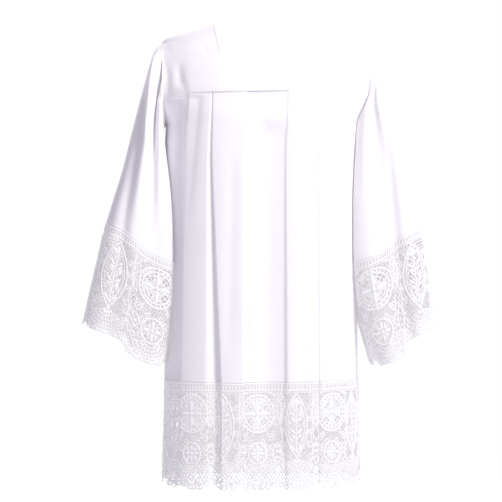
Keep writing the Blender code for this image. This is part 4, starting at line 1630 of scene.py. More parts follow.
class NodeKit:
    """Builds one material, or the world, out of nodes."""

    def __init__(self, owner: Material | bpy.types.World) -> None:
        """Start with no nodes."""
        owner.use_nodes = True
        self.owner = owner
        self.tree = owner.node_tree
        self.tree.nodes.clear()

    def node(self, kind: str, settings: Named | None = None, inputs: Named | None = None) -> bpy.types.Node:
        """Add a node: its settings are set first, then its sockets are given values or links.

        Args:
            kind: The node's type.
            settings: Its properties by name.
            inputs: Values, signals or sockets by input name or number.

        Returns:
            The node.
        """
        made = self.tree.nodes.new(kind)
        for name, value in (settings or {}).items():
            setattr(made, name, value)
        for name, value in (inputs or {}).items():
            value = value.socket if isinstance(value, Signal) else value
            if isinstance(value, Socket):
                self.tree.links.new(value, made.inputs[name])
            else:
                made.inputs[name].default_value = value
        return made

    def math(self, operation: str, *values: Signal | float) -> Signal:
        """A Math node on numbers."""
        made = self.node("ShaderNodeMath", {"operation": operation}, dict(enumerate(values)))
        return Signal(self, made.outputs[0])

    def flat_place(self) -> tuple[Signal, Signal]:
        """The surface's own flat place, across and down, in metres.

        Returns:
            The two signals.
        """
        place = self.node("ShaderNodeUVMap", {"uv_map": "flat"})
        parts = self.node("ShaderNodeSeparateXYZ", None, {0: place.outputs[0]})
        return Signal(self, parts.outputs[0]), Signal(self, parts.outputs[1])

    def noise(self, scale: float, detail: float = 2, roughness: float = 0.5) -> Signal:
        """Soft noise in the garment's own space; the scale is in lumps a metre."""
        where = self.node("ShaderNodeTexCoord").outputs["Object"]
        inputs = {"Vector": where, "Scale": scale, "Detail": detail, "Roughness": roughness}
        return Signal(self, self.node("ShaderNodeTexNoise", None, inputs).outputs["Fac"])

    def blend(self, share: Signal, first: Triple, second: Triple) -> Socket:
        """A colour between two others by share.

        Args:
            share: The second colour's share.
            first: The colour at 0.
            second: The colour at 1.

        Returns:
            The colour's socket.
        """
        settings = {"data_type": "RGBA", "clamp_factor": True}
        inputs = {0: share, 6: (*first, 1), 7: (*second, 1)}
        return self.node("ShaderNodeMix", settings, inputs).outputs[2]

    def bump(self, height: Signal) -> Socket:
        """Normals of a relief whose height is given in mm."""
        inputs = {"Height": height, "Distance": MM, "Strength": 1}
        return self.node("ShaderNodeBump", None, inputs).outputs[0]

    def finish(self, **inputs: Any) -> Material:
        """End in a Principled surface with the inputs given, by socket name with _ for spaces."""
        named = {name.replace("_", " "): value for name, value in inputs.items()}
        shader = self.node("ShaderNodeBsdfPrincipled", None, named)
        self.node("ShaderNodeOutputMaterial", None, {"Surface": shader.outputs[0]})
        return self.owner


@dataclass(frozen=True)
class CottonFinish:
    """White cotton blend: a fine plain weave, faint rumples and a matt, slightly silky face."""

    name: str = "cotton_cloth"
    bright: Triple = (0.875, 0.865, 0.885)
    dull: Triple = (0.845, 0.835, 0.862)
    roughness: float = 0.74
    roughness_change: float = 0.1
    sheen: float = 0.2
    sheen_roughness: float = 0.5
    specular: float = 0.3
    # Painted light: the cloth's own faint lavender glow, which lifts its shade
    glow: float = 0.05
    painted_glow_colour: Row = (0.95, 0.9, 1, 1)
    thread_pitch: float = 0.55
    weave_height: float = 0.035
    rumples_per_metre: float = 16
    rumple_height: float = 1.6
    patches_per_metre: float = 6.4

    def material(self) -> Material:
        """Build the material.

        The weave is the product of two sine waves, one for each set of threads; the rumples are soft
        noise. A faint lavender glow is painted light that lifts the cloth's shade.

        Returns:
            The material.
        """
        kit = NodeKit(bpy.data.materials.new(self.name))
        across, down = kit.flat_place()
        turns = math.tau / (self.thread_pitch * MM)
        weave = (across * turns).sine() * (down * turns).sine()
        rumple = kit.noise(self.rumples_per_metre, detail=2.5, roughness=0.42)
        patch = kit.noise(self.patches_per_metre, detail=1)
        return kit.finish(
            Base_Color=kit.blend(patch, self.dull, self.bright),
            Roughness=self.roughness + self.roughness_change * (patch - 0.5),
            Sheen_Weight=self.sheen,
            Sheen_Roughness=self.sheen_roughness,
            # Painted light: a faint lavender glow that lifts the cloth's shade
            Emission_Color=self.painted_glow_colour,
            Emission_Strength=self.glow,
            Specular_IOR_Level=self.specular,
            Normal=kit.bump(rumple * self.rumple_height + weave * self.weave_height),
        )


@dataclass(frozen=True)
class NetFinish:
    """Lace ground: close bars with small meshes between them, square at the top and slanting below."""

    name: str = "lace_net"
    # Painted shade: the net's grey, darker than the white thread it is, stands for shade seen through its
    # meshes; it varies at random between two greys
    colour: Triple = (0.58, 0.57, 0.59)
    dull: Triple = (0.49, 0.48, 0.5)
    # Painted light: the net's own glow, standing for light through the lace
    glow: float = 0.24
    mesh_pitch: float = 6.4
    mesh_share: float = 0.3
    square_to: float = 46
    slant: float = 0.62
    squash: float = 0.38
    relief: float = -2.2
    patches_per_metre: float = 60
    roughness: float = 0.8

    def material(self) -> Material:
        """Build the material: a mesh opens where both of its lattice's places lie near a cell's middle.

        Returns:
            The material.
        """
        kit = NodeKit(bpy.data.materials.new(self.name))
        across, down = kit.flat_place()
        scale = 1 / (self.mesh_pitch * MM)
        upper = down < self.square_to * MM
        slant = (1 - upper) * self.slant
        first = ((across * scale + down * scale * slant).fraction() - 0.5).size()
        second = down * scale * (1 - self.squash * (1 - upper)) - across * scale * (1 - upper)
        second = (second.fraction() - 0.5).size()
        farther = first.most(second)
        return kit.finish(
            # Painted shade: the grey ground stands for shade seen through the meshes
            Base_Color=kit.blend(kit.noise(self.patches_per_metre), self.dull, self.colour),
            Roughness=self.roughness,
            Alpha=1 - (farther < self.mesh_share),
            # Painted light: a glow standing for light through the lace
            Emission_Color=LACE_GLOW,
            Emission_Strength=self.glow,
            Normal=kit.bump((farther - self.mesh_share).size() * self.relief),
        )


@dataclass(frozen=True)
class LaceThreadFinish:
    """Lace thread, twisted into cord or laid as satin stitch: slanting grooves along it."""

    name: str
    # Painted shade: a darker colour laid in the grooves between the threads
    groove_shade: Triple
    pitch: float
    slant: float
    relief: float
    roughness: float
    # Painted shade: the thread's grey, below the cloth's white, stands for the lace's own shade
    colour: Triple = (0.76, 0.755, 0.77)
    # Painted light: the thread's own glow, standing for light through the lace
    glow: float = 0.22

    def material(self) -> Material:
        """Build the material: the threads are a sine wave over the place along and that around.

        Returns:
            The material.
        """
        kit = NodeKit(bpy.data.materials.new(self.name))
        along, around = kit.flat_place()
        turns = math.tau / (self.pitch * MM)
        thread = (along * turns + around * turns * self.slant).sine() * 0.5 + 0.5
        return kit.finish(
            # Painted shade: darker where the threads dip into their grooves
            Base_Color=kit.blend(thread, self.groove_shade, self.colour),
            Roughness=self.roughness,
            Emission_Color=LACE_GLOW,
            Emission_Strength=self.glow,
            Normal=kit.bump(thread * self.relief),
        )


# The first colour of each is the painted shade in its grooves
CORD_FINISH = LaceThreadFinish("lace_cord", (0.63, 0.625, 0.645), 1.7, 0.5, 0.16, 0.78)
SATIN_FINISH = LaceThreadFinish("lace_satin_stitch", (0.65, 0.645, 0.665), 0.7, 0.35, 0.1, 0.55)


@dataclass(frozen=True)
class ThreadFinish:
    """Sewing thread and the turned edges that it holds."""

    name: str = "sewing_thread"
    colour: Triple = (0.9, 0.895, 0.91)
    dull: Triple = (0.84, 0.835, 0.855)
    roughness: float = 0.6
    tufts_per_metre: float = 400
    relief: float = 0.15

    def material(self) -> Material:
        """Build the material: fine noise between two tints.

        Returns:
            The material.
        """
        kit = NodeKit(bpy.data.materials.new(self.name))
        patch = kit.noise(self.tufts_per_metre)
        return kit.finish(
            Base_Color=kit.blend(patch, self.dull, self.colour),
            Roughness=self.roughness,
            Normal=kit.bump(patch * self.relief),
        )


@dataclass(frozen=True)
class FloorFinish:
    """The studio's pale paper floor."""

    name: str = "studio_floor"
    colour: Triple = (0.86, 0.86, 0.87)
    dull: Triple = (0.84, 0.84, 0.85)
    glow: float = 0.85
    glow_near: Triple = (0.1, 0.1, 0.105)
    glow_from: float = 1.3
    glow_to: float = 2.6
    patches_per_metre: float = 0.8
    roughness: float = 0.9

    def material(self) -> Material:
        """Build the material: broad faint noise, and a light of its own that grows away from the middle.

        Returns:
            The material.
        """
        kit = NodeKit(bpy.data.materials.new(self.name))
        x, y = kit.flat_place()
        away = (x * x + y * y) / self.glow_to**2
        start = (self.glow_from / self.glow_to) ** 2
        far = ((away - start) / (1 - start)).most(0).least(1)
        return kit.finish(
            Base_Color=kit.blend(kit.noise(self.patches_per_metre), self.dull, self.colour),
            Roughness=self.roughness,
            Emission_Color=kit.blend(far, self.glow_near, (1, 1, 1)),
            Emission_Strength=self.glow,
        )


# Pieces


@dataclass(frozen=True)
class Cut:
    """The flat size that a piece shows of its cut: width, length and area in metres."""

    width: float
    length: float
    area: float


def settle(piece: Piece, material: Material) -> Piece:
    """Give a piece its finish and its place in the garment.

    Args:
        piece: The piece.
        material: Its finish.

    Returns:
        The piece.
    """
    piece.data.materials.append(material)
    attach(piece, ROOT)
    log.info("%s: %d faces", piece.name, len(piece.data.polygons))
    return piece


def declare(piece: Piece, cut: Cut, trims: Sequence[Piece]) -> None:
    """Take the trims that go with a piece as a list."""
    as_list(trims)


@dataclass(frozen=True)
class Cloth:
    """A piece of the garment's cloth: the solid that it stands for, its form, cut and thickness."""

    name: str
    node: str
    form: PleatedPanel | YokeForm | SleeveForm
    cut: Cut
    thick: float = 0.8

    def close(self, points: Array, normals: Array, faces: Array, places: Array) -> Piece:
        """Close a sheet into a wall that replaces its solid.

        Args:
            points: Points of the outer side.
            normals: Their outward normals.
            faces: Faces of the outer side.
            places: Flat place of each point, in metres.

        Returns:
            The piece.
        """
        parts = MeshParts()
        wall(parts, points, normals, faces, places, self.thick * MM)
        piece = parts.build(self.name)
        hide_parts(self.node)
        return piece


@dataclass(frozen=True)
class PanelCloth(Cloth):
    """The cloth of a pleated half of the body."""

    columns_per_step: int = 7
    rows_near_yoke: int = 20
    rows_below: int = 66
    near_share: float = 0.13
    tuck: float = 6

    def build(self) -> Piece:
        """Build the wall: rows even in height, closer together beside the armholes.

        Returns:
            The piece.
        """
        form, sign = self.form, self.form.side.value
        columns = np.linspace(0, form.last, int(form.last) * self.columns_per_step + 1)
        near = np.linspace(0, self.near_share, self.rows_near_yoke, endpoint=False)
        share = np.concatenate([near, np.linspace(self.near_share, 1, self.rows_below)])[:, None]
        top = form.yoke_seam_at(columns) + self.tuck * MM
        z = top + (form.lace_seam_at(columns) - top) * share
        points = form.point(np.broadcast_to(columns, z.shape), z)
        places = joined(np.interp(columns, *form.hem_lengths()), -z)
        return self.close(points, grid_normals(points, sign), grid_quads(*z.shape, sign), places)


@dataclass(frozen=True)
class YokeCloth(Cloth):
    """The cloth of half of the yoke, with the square neck cut out of its middle."""

    thick: float = 0.6
    columns_per_step: int = 6
    rows_above: int = 14
    rows_below: int = 34
    overlap: float = 1.6

    def build(self) -> Piece:
        """Build the wall: the neck is the block of cells that is left out.

        Returns:
            The piece.
        """
        form, sign = self.form, self.form.side.value
        columns = np.linspace(0, form.last, int(form.last) * self.columns_per_step + 1)
        above = np.linspace(0, form.neck_turn, self.rows_above, endpoint=False)
        below = np.linspace(form.neck_turn, math.pi / 2, self.rows_below)
        past = math.pi / 2 + np.array([0.5, 1]) * self.overlap * MM * 10
        turn, column = np.meshgrid(np.concatenate([above, below, past]), columns, indexing="ij")
        points = form.point(column, turn)
        faces = grid_quads(*turn.shape, sign)
        rows, cells = np.divmod(np.arange(len(faces)), len(columns) - 1)
        first = form.strap_steps * self.columns_per_step
        middle = (cells >= first) & (cells < first + form.middle_steps * self.columns_per_step)
        faces = faces[~(middle & (rows < self.rows_above))]
        places = joined(points[..., 0], turn * -form.seam * MM)
        return self.close(points, grid_normals(points, sign), faces, places)


@dataclass(frozen=True)
class SleeveCloth(Cloth):
    """The cloth of a sleeve, from its seam allowance under the yoke to the cuff's seam."""

    sides: int = 228
    rows: int = 80

    def build(self) -> Piece:
        """Build the wall: rings of points from the armhole down.

        Returns:
            The piece.
        """
        form, sign = self.form, self.form.hand.value
        angles = np.linspace(0, math.tau, self.sides + 1)[:-1]
        stops = np.concatenate([[-1, -0.4], np.linspace(0, form.seam_station, self.rows)])
        place, angle = np.meshgrid(stops, angles, indexing="ij")
        points = form.point(angle, place)
        _, girth = form.girth(0, math.tau, form.seam_station)
        places = joined(angle / math.tau * girth[-1], place * 0.1)
        normals = grid_normals(points, sign, wraps=True)
        return self.close(points, normals, grid_quads(*place.shape, sign, wraps=True), places)


@dataclass(frozen=True)
class Lace:
    """A length of the garment's lace and the solid that it stands for."""

    name: str
    node: str
    form: PleatedPanel | SleeveForm
    first_motif: int
    tuck_lift: float = -1.35
    tuck_from: float = -3
    tuck_to: float = 4

    def tucked(self, down: Array) -> Array:
        """How far the lace stands off the form: its top edge tucks in behind the cloth."""
        share = (self.tuck_to - down / MM) / (self.tuck_to - self.tuck_from)
        return self.tuck_lift * MM * smooth_step(share)


@dataclass(frozen=True)
class HemLace(Lace):
    """Half of the lace round the body's hem."""

    columns: int = 8
    scallops: Row = (1, 2.3, 0.7, 0.9, 0.5, 0.8, 1.1, 0.6)

    def work(self) -> LaceWork:
        """The lace laid on the panel's form below its seam.

        Returns:
            The lace work.
        """
        form = self.form
        columns, lengths = form.hem_lengths()

        def surface(across: Array, down: Array) -> Array:
            """Points at places across and down."""
            column = np.interp(across, lengths, columns)
            return form.point(column, form.lace_seam_at(column) - down, self.tucked(down))

        design = LaceDesign(float(lengths[-1]) / MM, self.columns, self.first_motif, self.scallops)
        return LaceWork(self.name, design, surface, form.side.value)


@dataclass(frozen=True)
class CuffLace(Lace):
    """Half of a cuff's lace, round the front or the back of the sleeve."""

    columns: int = 3
    scallops: Row = (1.5, 1.1, 1.8)
    start: float = 0

    def work(self) -> LaceWork:
        """The lace laid on the sleeve's form past its seam.

        Returns:
            The lace work.
        """
        form = self.form
        middle = (form.seam_station + form.end_station) / 2
        angles, lengths = form.girth(self.start, self.start + math.pi, middle)
        reach = (form.end_station - form.seam_station) / (LACE_DEPTH * MM)

        def surface(across: Array, down: Array) -> Array:
            """Points at places across and down."""
            angle = np.interp(across, lengths, angles)
            return form.point(angle, form.seam_station + reach * down, self.tucked(down))

        design = LaceDesign(float(lengths[-1]) / MM, self.columns, self.first_motif, self.scallops)
        return LaceWork(self.name, design, surface, form.hand.value)


@dataclass(frozen=True)
class EdgePath:
    """A line along an edge or seam of a piece: places on its surface and how the edge is finished.

    The strip is the edge's turned fold: half its width and its flatness. Stitches lie beside it.
    """

    surface: Surface
    first: Array
    second: Array
    outward: int
    half_width: float
    flatness: float
    lift: float
    closed: bool = False
    steps: Pair = (0.01, 0.002)

    def line(self, shift: float = 0) -> tuple[Array, Array]:
        """The path, moved beside itself on the cloth, and its normals.

        Args:
            shift: How far beside, in mm, to the path's right as seen from outside.

        Returns:
            The points and the outward normals.
        """
        points = self.surface(self.first, self.second)
        normals = surface_normals(self.surface, self.first, self.second, self.outward, self.steps)
        beside = unit(np.cross(unit(np.gradient(points, axis=0)), normals))
        return points + beside * shift * MM + normals * self.lift * MM, normals

    def strip(self) -> Strand:
        """The turned fold along the edge."""
        points, normals = self.line()
        return Strand(points, normals, self.half_width * MM, self.flatness, self.closed)


# Turned folds along edges and seams: half width in mm, flatness, lift in mm
HEM_FOLD = (2.1, 0.36, 0.1)
YOKE_FOLD = (1.2, 0.3, 0.1)
NECK_FOLD = (1.5, 0.55, 0)
SHOULDER_FOLD = (1.3, 0.5, 0.1)
ARMHOLE_FOLD = (0.7, 0.6, 0)
SIDE_FOLD = (1, 0.7, 0)


@dataclass(frozen=True)
class Sewing:
    """The garment's turned edges, seams and stitches, and how many points their paths have."""

    panels: tuple[PleatedPanel, PleatedPanel]
    yokes: tuple[YokeForm, YokeForm]
    sleeves: tuple[SleeveForm, SleeveForm]
    hem_points: int = 560
    hem_rise: float = 1.9
    seam_points_per_column: float = 13.4
    seam_turn: float = math.pi / 2 + 0.008
    neck_side_points: int = 40
    neck_points: int = 70
    shoulder_points: int = 60
    shoulder_margin: float = 0.25
    armhole_points: int = 200
    cuff_points: int = 300
    ring_inset: float = 0.02
    side_points: int = 90
    steep: Pair = (1.9, 3.2)

    def hem(self, panel: PleatedPanel) -> EdgePath:
        """The turned hem above the body's lace.

        Args:
            panel: The half of the body.

        Returns:
            The path.
        """
        column = np.linspace(0, panel.last, self.hem_points)
        z = panel.lace_seam_at(column) + self.hem_rise * MM
        return EdgePath(panel.point, column, z, -panel.side.value, *HEM_FOLD)

    def yoke_seam(self, yoke: YokeForm, start: float, end: float) -> EdgePath:
        """A stretch of the yoke's turned lower edge, over the tops of the pleats.

        Args:
            yoke: The half of the yoke.
            start: Column number where the stretch starts.
            end: Column number where it ends.

        Returns:
            The path.
        """
        column = np.linspace(start, end, round((end - start) * self.seam_points_per_column))
        return EdgePath(yoke.point, column, np.full_like(column, self.seam_turn), yoke.side.value, *YOKE_FOLD)

    def neck_edge(self, yoke: YokeForm) -> EdgePath:
        """The neck's bound edge: down one strap, across and up the other.

        Args:
            yoke: The half of the yoke.

        Returns:
            The path.
        """
        low, high = float(yoke.strap_steps), float(yoke.strap_steps + yoke.middle_steps)
        down = np.linspace(0, yoke.neck_turn, self.neck_side_points)[:-1]
        across = np.linspace(low, high, self.neck_points)
        column = np.concatenate([np.full_like(down, low), across, np.full_like(down, high)])
        turn = np.concatenate([down, np.full_like(across, yoke.neck_turn), down[::-1]])
        return EdgePath(yoke.point, column, turn, yoke.side.value, *NECK_FOLD)

    def shoulder_seams(self) -> list[EdgePath]:
        """The seams where the yokes meet along the shoulders.

        Returns:
            The two paths.
        """
        yoke, margin = self.yokes[0], self.shoulder_margin
        spans = ((yoke.strap_steps, margin), (yoke.strap_steps + yoke.middle_steps, yoke.last - margin))
        columns = [np.linspace(*span, self.shoulder_points) for span in spans]
        level = np.zeros(self.shoulder_points)
        return [EdgePath(yoke.point, column, level, yoke.side.value, *SHOULDER_FOLD) for column in columns]

    def ring(self, sleeve: SleeveForm, points: int, place: float, fold: Triple) -> EdgePath:
        """A seam or hem round a sleeve.

        Args:
            sleeve: The sleeve.
            points: How many points the path has.
            place: Its station number.
            fold: Half width, flatness and lift of its turned fold.

        Returns:
            The path.
        """
        angle = full_turn(points)
        level = np.full_like(angle, place)
        return EdgePath(sleeve.point, angle, level, sleeve.hand.value, *fold, closed=True)

    def armhole_seam(self, sleeve: SleeveForm) -> EdgePath:
        """The seam round an armhole."""
        return self.ring(sleeve, self.armhole_points, self.ring_inset, ARMHOLE_FOLD)

    def cuff_hem(self, sleeve: SleeveForm) -> EdgePath:
        """The turned hem above a cuff's lace."""
        return self.ring(sleeve, self.cuff_points, sleeve.seam_station - self.ring_inset, HEM_FOLD)

    def side_seams(self) -> list[EdgePath]:
        """The seams down the body's sides.

        Returns:
            The two paths.
        """
        panel = self.panels[0]
        z = np.linspace(panel.body.underarm * MM, (panel.lace_seam - 7) * MM, self.side_points)
        levels = [np.full_like(z, column) for column in (0, panel.last)]
        return [EdgePath(panel.point, level, z, -panel.side.value, *SIDE_FOLD) for level in levels]

    def build(self) -> tuple[Piece, Piece]:
        """Build the folds and seams as one piece and the stitches as another.

        Each group of paths has the distances in mm at which rows of stitches lie beside them. The short
        steep parts of the yokes' lower edges are turned but not stitched.

        Returns:
            The two pieces.
        """
        groups = (
            ([self.hem(panel) for panel in self.panels], (3.1,)),
            ([self.yoke_seam(yoke, 0, yoke.last) for yoke in self.yokes], ()),
            ([self.neck_edge(yoke) for yoke in self.yokes], (3.6,)),
            (self.shoulder_seams(), (2.6, -2.6)),
            ([self.armhole_seam(sleeve) for sleeve in self.sleeves], (2.8,)),
            ([self.cuff_hem(sleeve) for sleeve in self.sleeves], (3.1,)),
            (self.side_seams(), ()),
        )
        rows, (low, high) = [], self.steep
        for yoke in self.yokes:
            for start, end in ((0, low), (high, yoke.last - high), (yoke.last - low, yoke.last)):
                rows.append(self.yoke_seam(yoke, start, end).line(3.6))
        parts = MeshParts()
        for paths, shifts in groups:
            for path in paths:
                add_strand(parts, path.strip(), 6)
                rows += [path.line(shift) for shift in shifts]
        return parts.build("turned_edges", smooth_angle=80), StitchRows("stitches").build(rows)


# The garment


def rows_of(kind: type, *rows: tuple) -> tuple:
    """A table of creases, folds or rings: each row holds the fields of one in their order."""
    return tuple(kind(*row) for row in rows)


BODY = BodyForm()

FRONT_CREASES = rows_of(
    Crease,
    (-163, 0, -165, 0, 1),
    (-154, 0, -153, 0, 1),
    (-155, 1.7, -156, 19, 3),
    (-112, 1.7, -112, 13, 2),
    (-110.3, 0, -94, 0, 1),
    (-108.8, 0, -83, 0, 1),
    (-109.2, 1.7, -85, 13, 3),
    (-42, 1.7, -42, 11, 1),
    (-43, 0, -45, 0, 4),
    (38, 0.4, 38, 2, 1),
    (41, 1.7, 43, 8, 3),
    (102, 1.7, 101, 8, 1),
    (103.5, 0.6, 103.5, 3.5, 1),
    (105, 1.7, 106, 8, 3),
    (156, 1.7, 158, 10, 1),
    (155, 0, 155, 0, 1),
    (163, 0, 167, 0, 1),
)

BACK_CREASES = rows_of(
    Crease,
    (-163, 0, -165, 0, 1),
    (-154, 0, -152, 0, 1),
    (-155, 1.7, -155, 10, 3),
    (-104.5, 1.7, -104, 10, 1),
    (-103, 0, -101.5, 1, 1),
    (-101.5, 1.7, -99, 10, 3),
    (-48, 1.7, -46, 11, 1),
    (-49, 0, -49, 0, 4),
    (49, 0, 51, 0, 1),
    (48, 1.7, 48, 12, 3),
    (101.3, 1.7, 88, 12, 1),
    (100.5, 0, 86, 0, 1),
    (102.8, 0, 96, 0, 2),
    (105, 1.7, 112, 11, 3),
    (155, 1.7, 155, 10, 1),
    (154, 0, 152, 0, 1),
    (163, 0, 165, 0, 1),
)

FRONT_FOLDS = rows_of(
    SoftFold,
    ((4, -190), (8, -900), 34, -11, -0.3, 0.06, 0.1),
    ((-169, -148), (-170, -800), 10, -7.5, 0, 0.06, 0.15),
    ((-130, -150), (-152, -430), 13, -3, 0.3, 0.02, 0.4),
    ((-62, -200), (-70, -700), 12, -1.8, 0, 0.3, 0.3),
    ((76, -300), (70, -900), 15, -2.4, 0, 0.5, 0.2),
    ((134, -380), (137, -900), 16, -2.6, 0, 0.4, 0.2),
)
BACK_FOLDS = rows_of(
    SoftFold,
    ((6, -210), (-4, -900), 34, -6.5, -0.2, 0.1, 0.15),
    ((132, -146), (114, -480), 15, -4, 0, 0.04, 0.5),
    ((-75, -280), (-68, -880), 15, -2.6, 0, 0.4, 0.2),
    ((-128, -250), (-132, -700), 14, -2.6, 0, 0.3, 0.3),
    ((70, -350), (74, -900), 14, -2.4, 0, 0.4, 0.2),
)
FRONT_YOKE_FOLDS = rows_of(
    SoftFold,
    ((-175, -74), (-168, -140), 7, -4.5, 0.4, 0.5, 0.3),
    ((-198, -76), (-196, -160), 5, -3, 0, 0.4, 0.1),
    ((-136, -46), (-112, -70), 4, -1, 0, 0.3, 0.3),
    ((-203, -40), (-186, -74), 3.5, -0.9, 0, 0.2, 0.3),
    ((172, -84), (162, -140), 9, -2.4, -0.3, 0.4, 0.3),
    ((120, -52), (136, -92), 9, -1, 0, 0.4, 0.4),
)
BACK_YOKE_FOLDS = rows_of(
    SoftFold,
    ((165, -72), (152, -146), 12, -4, -0.3, 0.5, 0),
    ((-168, -76), (-158, -146), 11, -3.4, 0, 0.4, 0),
    ((-120, -48), (-138, -96), 8, -1.4, 0, 0.3, 0.3),
    ((24, -40), (60, -92), 11, -1.2, 0, 0.4, 0.4),
)

RIGHT_STATIONS = rows_of(
    Station,
    (218, -60, 200, -222, 78, 0, 2.1, 1),
    (237, -122, 196, -262, 81, -3, 2.2, 1),
    (261, -214, 189, -332, 84, -7, 2.7, 1),
    (283, -301, 185, -404, 86, -11, 3, 0.9),
    (314, -403, 183, -487, 88, -15, 3, 0.8),
    (339, -506, 185, -588, 90, -18, 3, 0.65),
    (362, -607, 196, -690, 92, -20, 3, 0.5),
)

LEFT_STATIONS = rows_of(
    Station,
    (236, -54, 201, -222, 78, 0, 2.1, 1),
    (258, -118, 197, -262, 81, -3, 2.2, 1),
    (286, -214, 190, -332, 84, -6, 2.7, 1),
    (305, -305, 185, -404, 86, -9, 3, 0.9),
    (325, -408, 183, -489, 88, -12, 3, 0.8),
    (338, -511, 197, -592, 90, -14, 3, 0.65),
    (350, -611, 226, -694, 91, -15, 3, 0.5),
)

RIGHT_FOLDS = rows_of(
    RingFold,
    (30, 70, 14, 8), (102, 106, 12, 4), (238, 232, 14, 12), (300, 296, 12, 9),
)

LEFT_FOLDS = rows_of(
    RingFold,
    (92, 95, 12, 7),
    (60, 86, 6, 4.5, 0, 5, 9, 4),
    (242, 246, 14, 12),
    (290, 300, 11, 9),
)

RIGHT_CREASES = rows_of(
    RingFold,
    (39, 80, 11, 18, -0.3, 0.6, 2.4),
    (82, 93, 8, 20, 0.5, 2.2, 5.6),
    (106, 106, 9, -7, 0.3, 1.6, 4.6),
    (34, 46, 14, -10, 0.15, 1.1, 2.8),
    (48, 76, 13, -13, 1, 2.6, 5.8),
    (138, 138, 18, -7, 1.8, 3.6, 9),
    (268, 258, 9, 7, 0, 0.9, 3.8),
)
LEFT_CREASES = rows_of(
    RingFold,
    (50, 86, 9, 8, 0.45, 1.4, 5.2),
    (112, 118, 9, -5, 0.4, 1.8, 4.6),
    (132, 136, 13, -7, 0.3, 1.4, 6),
    (272, 262, 9, 7, 0, 0.9, 3.8),
)


@dataclass(frozen=True)
class Surplice:
    """The whole garment: cloth, lace and sewing."""

    front: PleatedPanel = PleatedPanel(Side.FRONT, BODY, FRONT_CREASES, FRONT_FOLDS)
    back: PleatedPanel = PleatedPanel(Side.BACK, BODY, BACK_CREASES, BACK_FOLDS)
    front_yoke: YokeForm = YokeForm(Side.FRONT, BODY, 66, 83, FRONT_YOKE_FOLDS, neck_shift=-11)
    back_yoke: YokeForm = YokeForm(Side.BACK, BODY, 22, 92, BACK_YOKE_FOLDS)
    left: SleeveForm = SleeveForm(Hand.LEFT, BODY, LEFT_STATIONS, LEFT_FOLDS, LEFT_CREASES, 12)
    right: SleeveForm = SleeveForm(Hand.RIGHT, BODY, RIGHT_STATIONS, RIGHT_FOLDS, RIGHT_CREASES, 4)

    def build_cloth(self) -> None:
        """Build and dress the yokes, panels and sleeves."""
        cotton = CottonFinish().material()
        pieces = (
            YokeCloth("front_yoke_cloth", "front_yoke", self.front_yoke, Cut(0.43, 0.22, 0.075)),
            YokeCloth("back_yoke_cloth", "back_yoke", self.back_yoke, Cut(0.43, 0.22, 0.085)),
            PanelCloth("front_panel_cloth", "front_panel", self.front, Cut(0.8, 0.585, 0.41)),
            PanelCloth("back_panel_cloth", "back_panel", self.back, Cut(0.79, 0.585, 0.41)),
            SleeveCloth("left_sleeve_cloth", "left_sleeve", self.left, Cut(0.56, 0.43, 0.2)),
            SleeveCloth("right_sleeve_cloth", "right_sleeve", self.right, Cut(0.56, 0.43, 0.2)),
        )
        for cloth in pieces:
            piece = settle(cloth.build(), cotton)
            above = () if isinstance(cloth, YokeCloth) else ("front_yoke_cloth", "back_yoke_cloth")
            declare(piece, cloth.cut, ())

    def build_lace(self) -> None:
        """Build and dress the hem's and the cuffs' lace."""
        finishes = (NetFinish(), CORD_FINISH, SATIN_FINISH)
        materials = [finish.material() for finish in finishes]
        laces = (
            HemLace("front_hem_lace", "hem_lace_front", self.front, 0),
            HemLace("back_hem_lace", "hem_lace_back", self.back, 0),
            CuffLace("left_cuff_front_lace", "left_cuff_lace_front", self.left, 0),
            CuffLace("left_cuff_back_lace", "left_cuff_lace_back", self.left, 1, start=math.pi),
            CuffLace("right_cuff_front_lace", "right_cuff_lace_front", self.right, 0),
            CuffLace("right_cuff_back_lace", "right_cuff_lace_back", self.right, 1, start=math.pi),
        )
        for lace in laces:
            work = lace.work()
            pieces = work.build()
            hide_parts(lace.node)
            for piece, material in zip(pieces, materials):
                settle(piece, material)
            width = work.design.width * MM
            area = width * (LACE_DEPTH - SCALLOPED_OFF) * MM * LACE_SHARE
            declare(pieces[0], Cut(width, LACE_DEPTH * MM, area), pieces[1:])

    def build_sewing(self) -> None:
        """Build and dress the turned edges and the stitches."""
        thread = ThreadFinish().material()
        sewing = Sewing((self.front, self.back), (self.front_yoke, self.back_yoke), (self.left, self.right))
        for piece in sewing.build():
            settle(piece, thread)


# The studio


def stand(name: str, data: bpy.types.ID, place: Triple, target: Triple) -> Piece:
    """Stand a light or camera in the scene.

    Args:
        name: Its name.
        data: The light or camera.
        place: Where it stands.
        target: What it faces.

    Returns:
        The object.
    """
    stood = bpy.data.objects.new(name, data)
    stood.location = place
    stood.rotation_euler = (Vector(target) - Vector(place)).to_track_quat("-Z", "Y").to_euler()
    bpy.context.scene.collection.objects.link(stood)
    return stood


@dataclass(frozen=True)
class SoftBox:
    """A square light: where it stands, what it faces, its size, power in watts and colour."""

    name: str
    place: Triple
    target: Triple
    size: float
    power: float
    colour: Triple

    def build(self) -> Piece:
        """Set up the light."""
        light = bpy.data.lights.new(self.name, "AREA")
        light.shape = "SQUARE"
        light.size = self.size
        light.energy = self.power
        light.color = self.colour
        return stand(self.name, light, self.place, self.target)


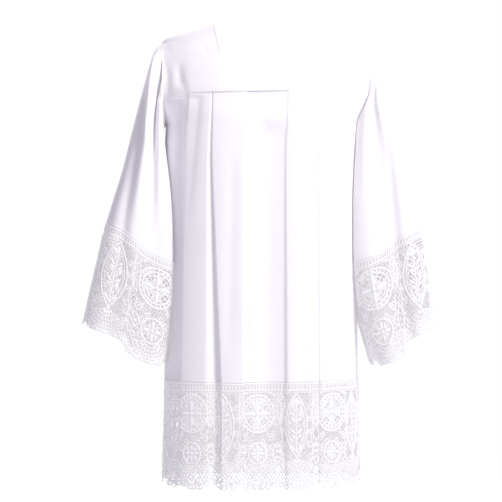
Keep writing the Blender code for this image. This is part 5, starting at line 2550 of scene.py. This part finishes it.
@dataclass(frozen=True)
class Studio:
    """A pale floor, soft light from the front right and above, and the camera."""

    camera_place: Triple = (-0.1892, -3.0942, -0.35)
    camera_target: Triple = (-0.0205, 0.0013, -0.4634)
    lens: float = 108.5
    sensor: float = 36
    floor_height: float = -1.42
    floor_radius: float = 2.7
    floor_sides: int = 96
    ambient: Triple = (0.9, 0.83, 1)
    ambient_strength: float = 0.44

    def build(self) -> None:
        """Set up the camera, the lights, the floor and the air's light."""
        self.build_camera()
        self.build_floor()
        self.build_air()
        SoftBox("key_light", (1.74, -2.1, 2.05), (0, 0, -0.4), 1.2, 128, (1, 0.99, 0.96)).build()
        SoftBox("back_light", (-0.9, 3, 1.1), (0, 0.1, -0.4), 1.6, 60, (0.97, 0.97, 1)).build()
        inner = SoftBox("neck_light", (0, -0.03, -0.3), (0, 0.06, 0), 0.16, 1.6, (1, 0.99, 0.98)).build()
        inner.visible_camera = False
        scene = bpy.context.scene
        scene.view_settings.view_transform = "Standard"
        scene.view_settings.look = "None"

    def build_camera(self) -> None:
        """Stand the camera where the photograph was taken from."""
        lens = bpy.data.cameras.new("camera")
        lens.lens = self.lens
        lens.sensor_width = self.sensor
        lens.clip_end = 200
        bpy.context.scene.camera = stand("camera", lens, self.camera_place, self.camera_target)

    def build_floor(self) -> None:
        """Lay a wide round floor: rings of points whose radius grows evenly from the middle."""
        turn = full_turn(self.floor_sides)
        radius = np.array([0.01, self.floor_radius / 2, self.floor_radius])[:, None]
        points = joined(radius * np.cos(turn), radius * np.sin(turn), self.floor_height)
        faces = [grid_quads(*points.shape[:2], -1, wraps=True), np.arange(self.floor_sides)[None, :]]
        parts = MeshParts()
        parts.add(points, faces, points[..., :2])
        floor = parts.build("studio_floor")
        floor.data.materials.append(FloorFinish().material())

    def build_air(self) -> None:
        """Fill the studio with even light, a little bluer than the key light; the camera sees white."""
        world = bpy.data.worlds.new("studio_air")
        kit = NodeKit(world)
        even = {"Color": (*self.ambient, 1), "Strength": self.ambient_strength}
        fill = kit.node("ShaderNodeBackground", None, even)
        seen = kit.node("ShaderNodeBackground", None, {"Color": (1, 1, 1, 1), "Strength": 1})
        rays = kit.node("ShaderNodeLightPath").outputs["Is Camera Ray"]
        mix = kit.node("ShaderNodeMixShader", None, {0: rays, 1: fill.outputs[0], 2: seen.outputs[0]})
        kit.node("ShaderNodeOutputWorld", None, {"Surface": mix.outputs[0]})
        bpy.context.scene.world = world


def main() -> None:
    """Build the garment and the studio round it."""
    logging.basicConfig(level=logging.INFO, format="%(message)s")
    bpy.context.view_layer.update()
    garment = Surplice()
    garment.build_cloth()
    garment.build_lace()
    garment.build_sewing()
    Studio().build()


if __name__ == "__main__":
    main()
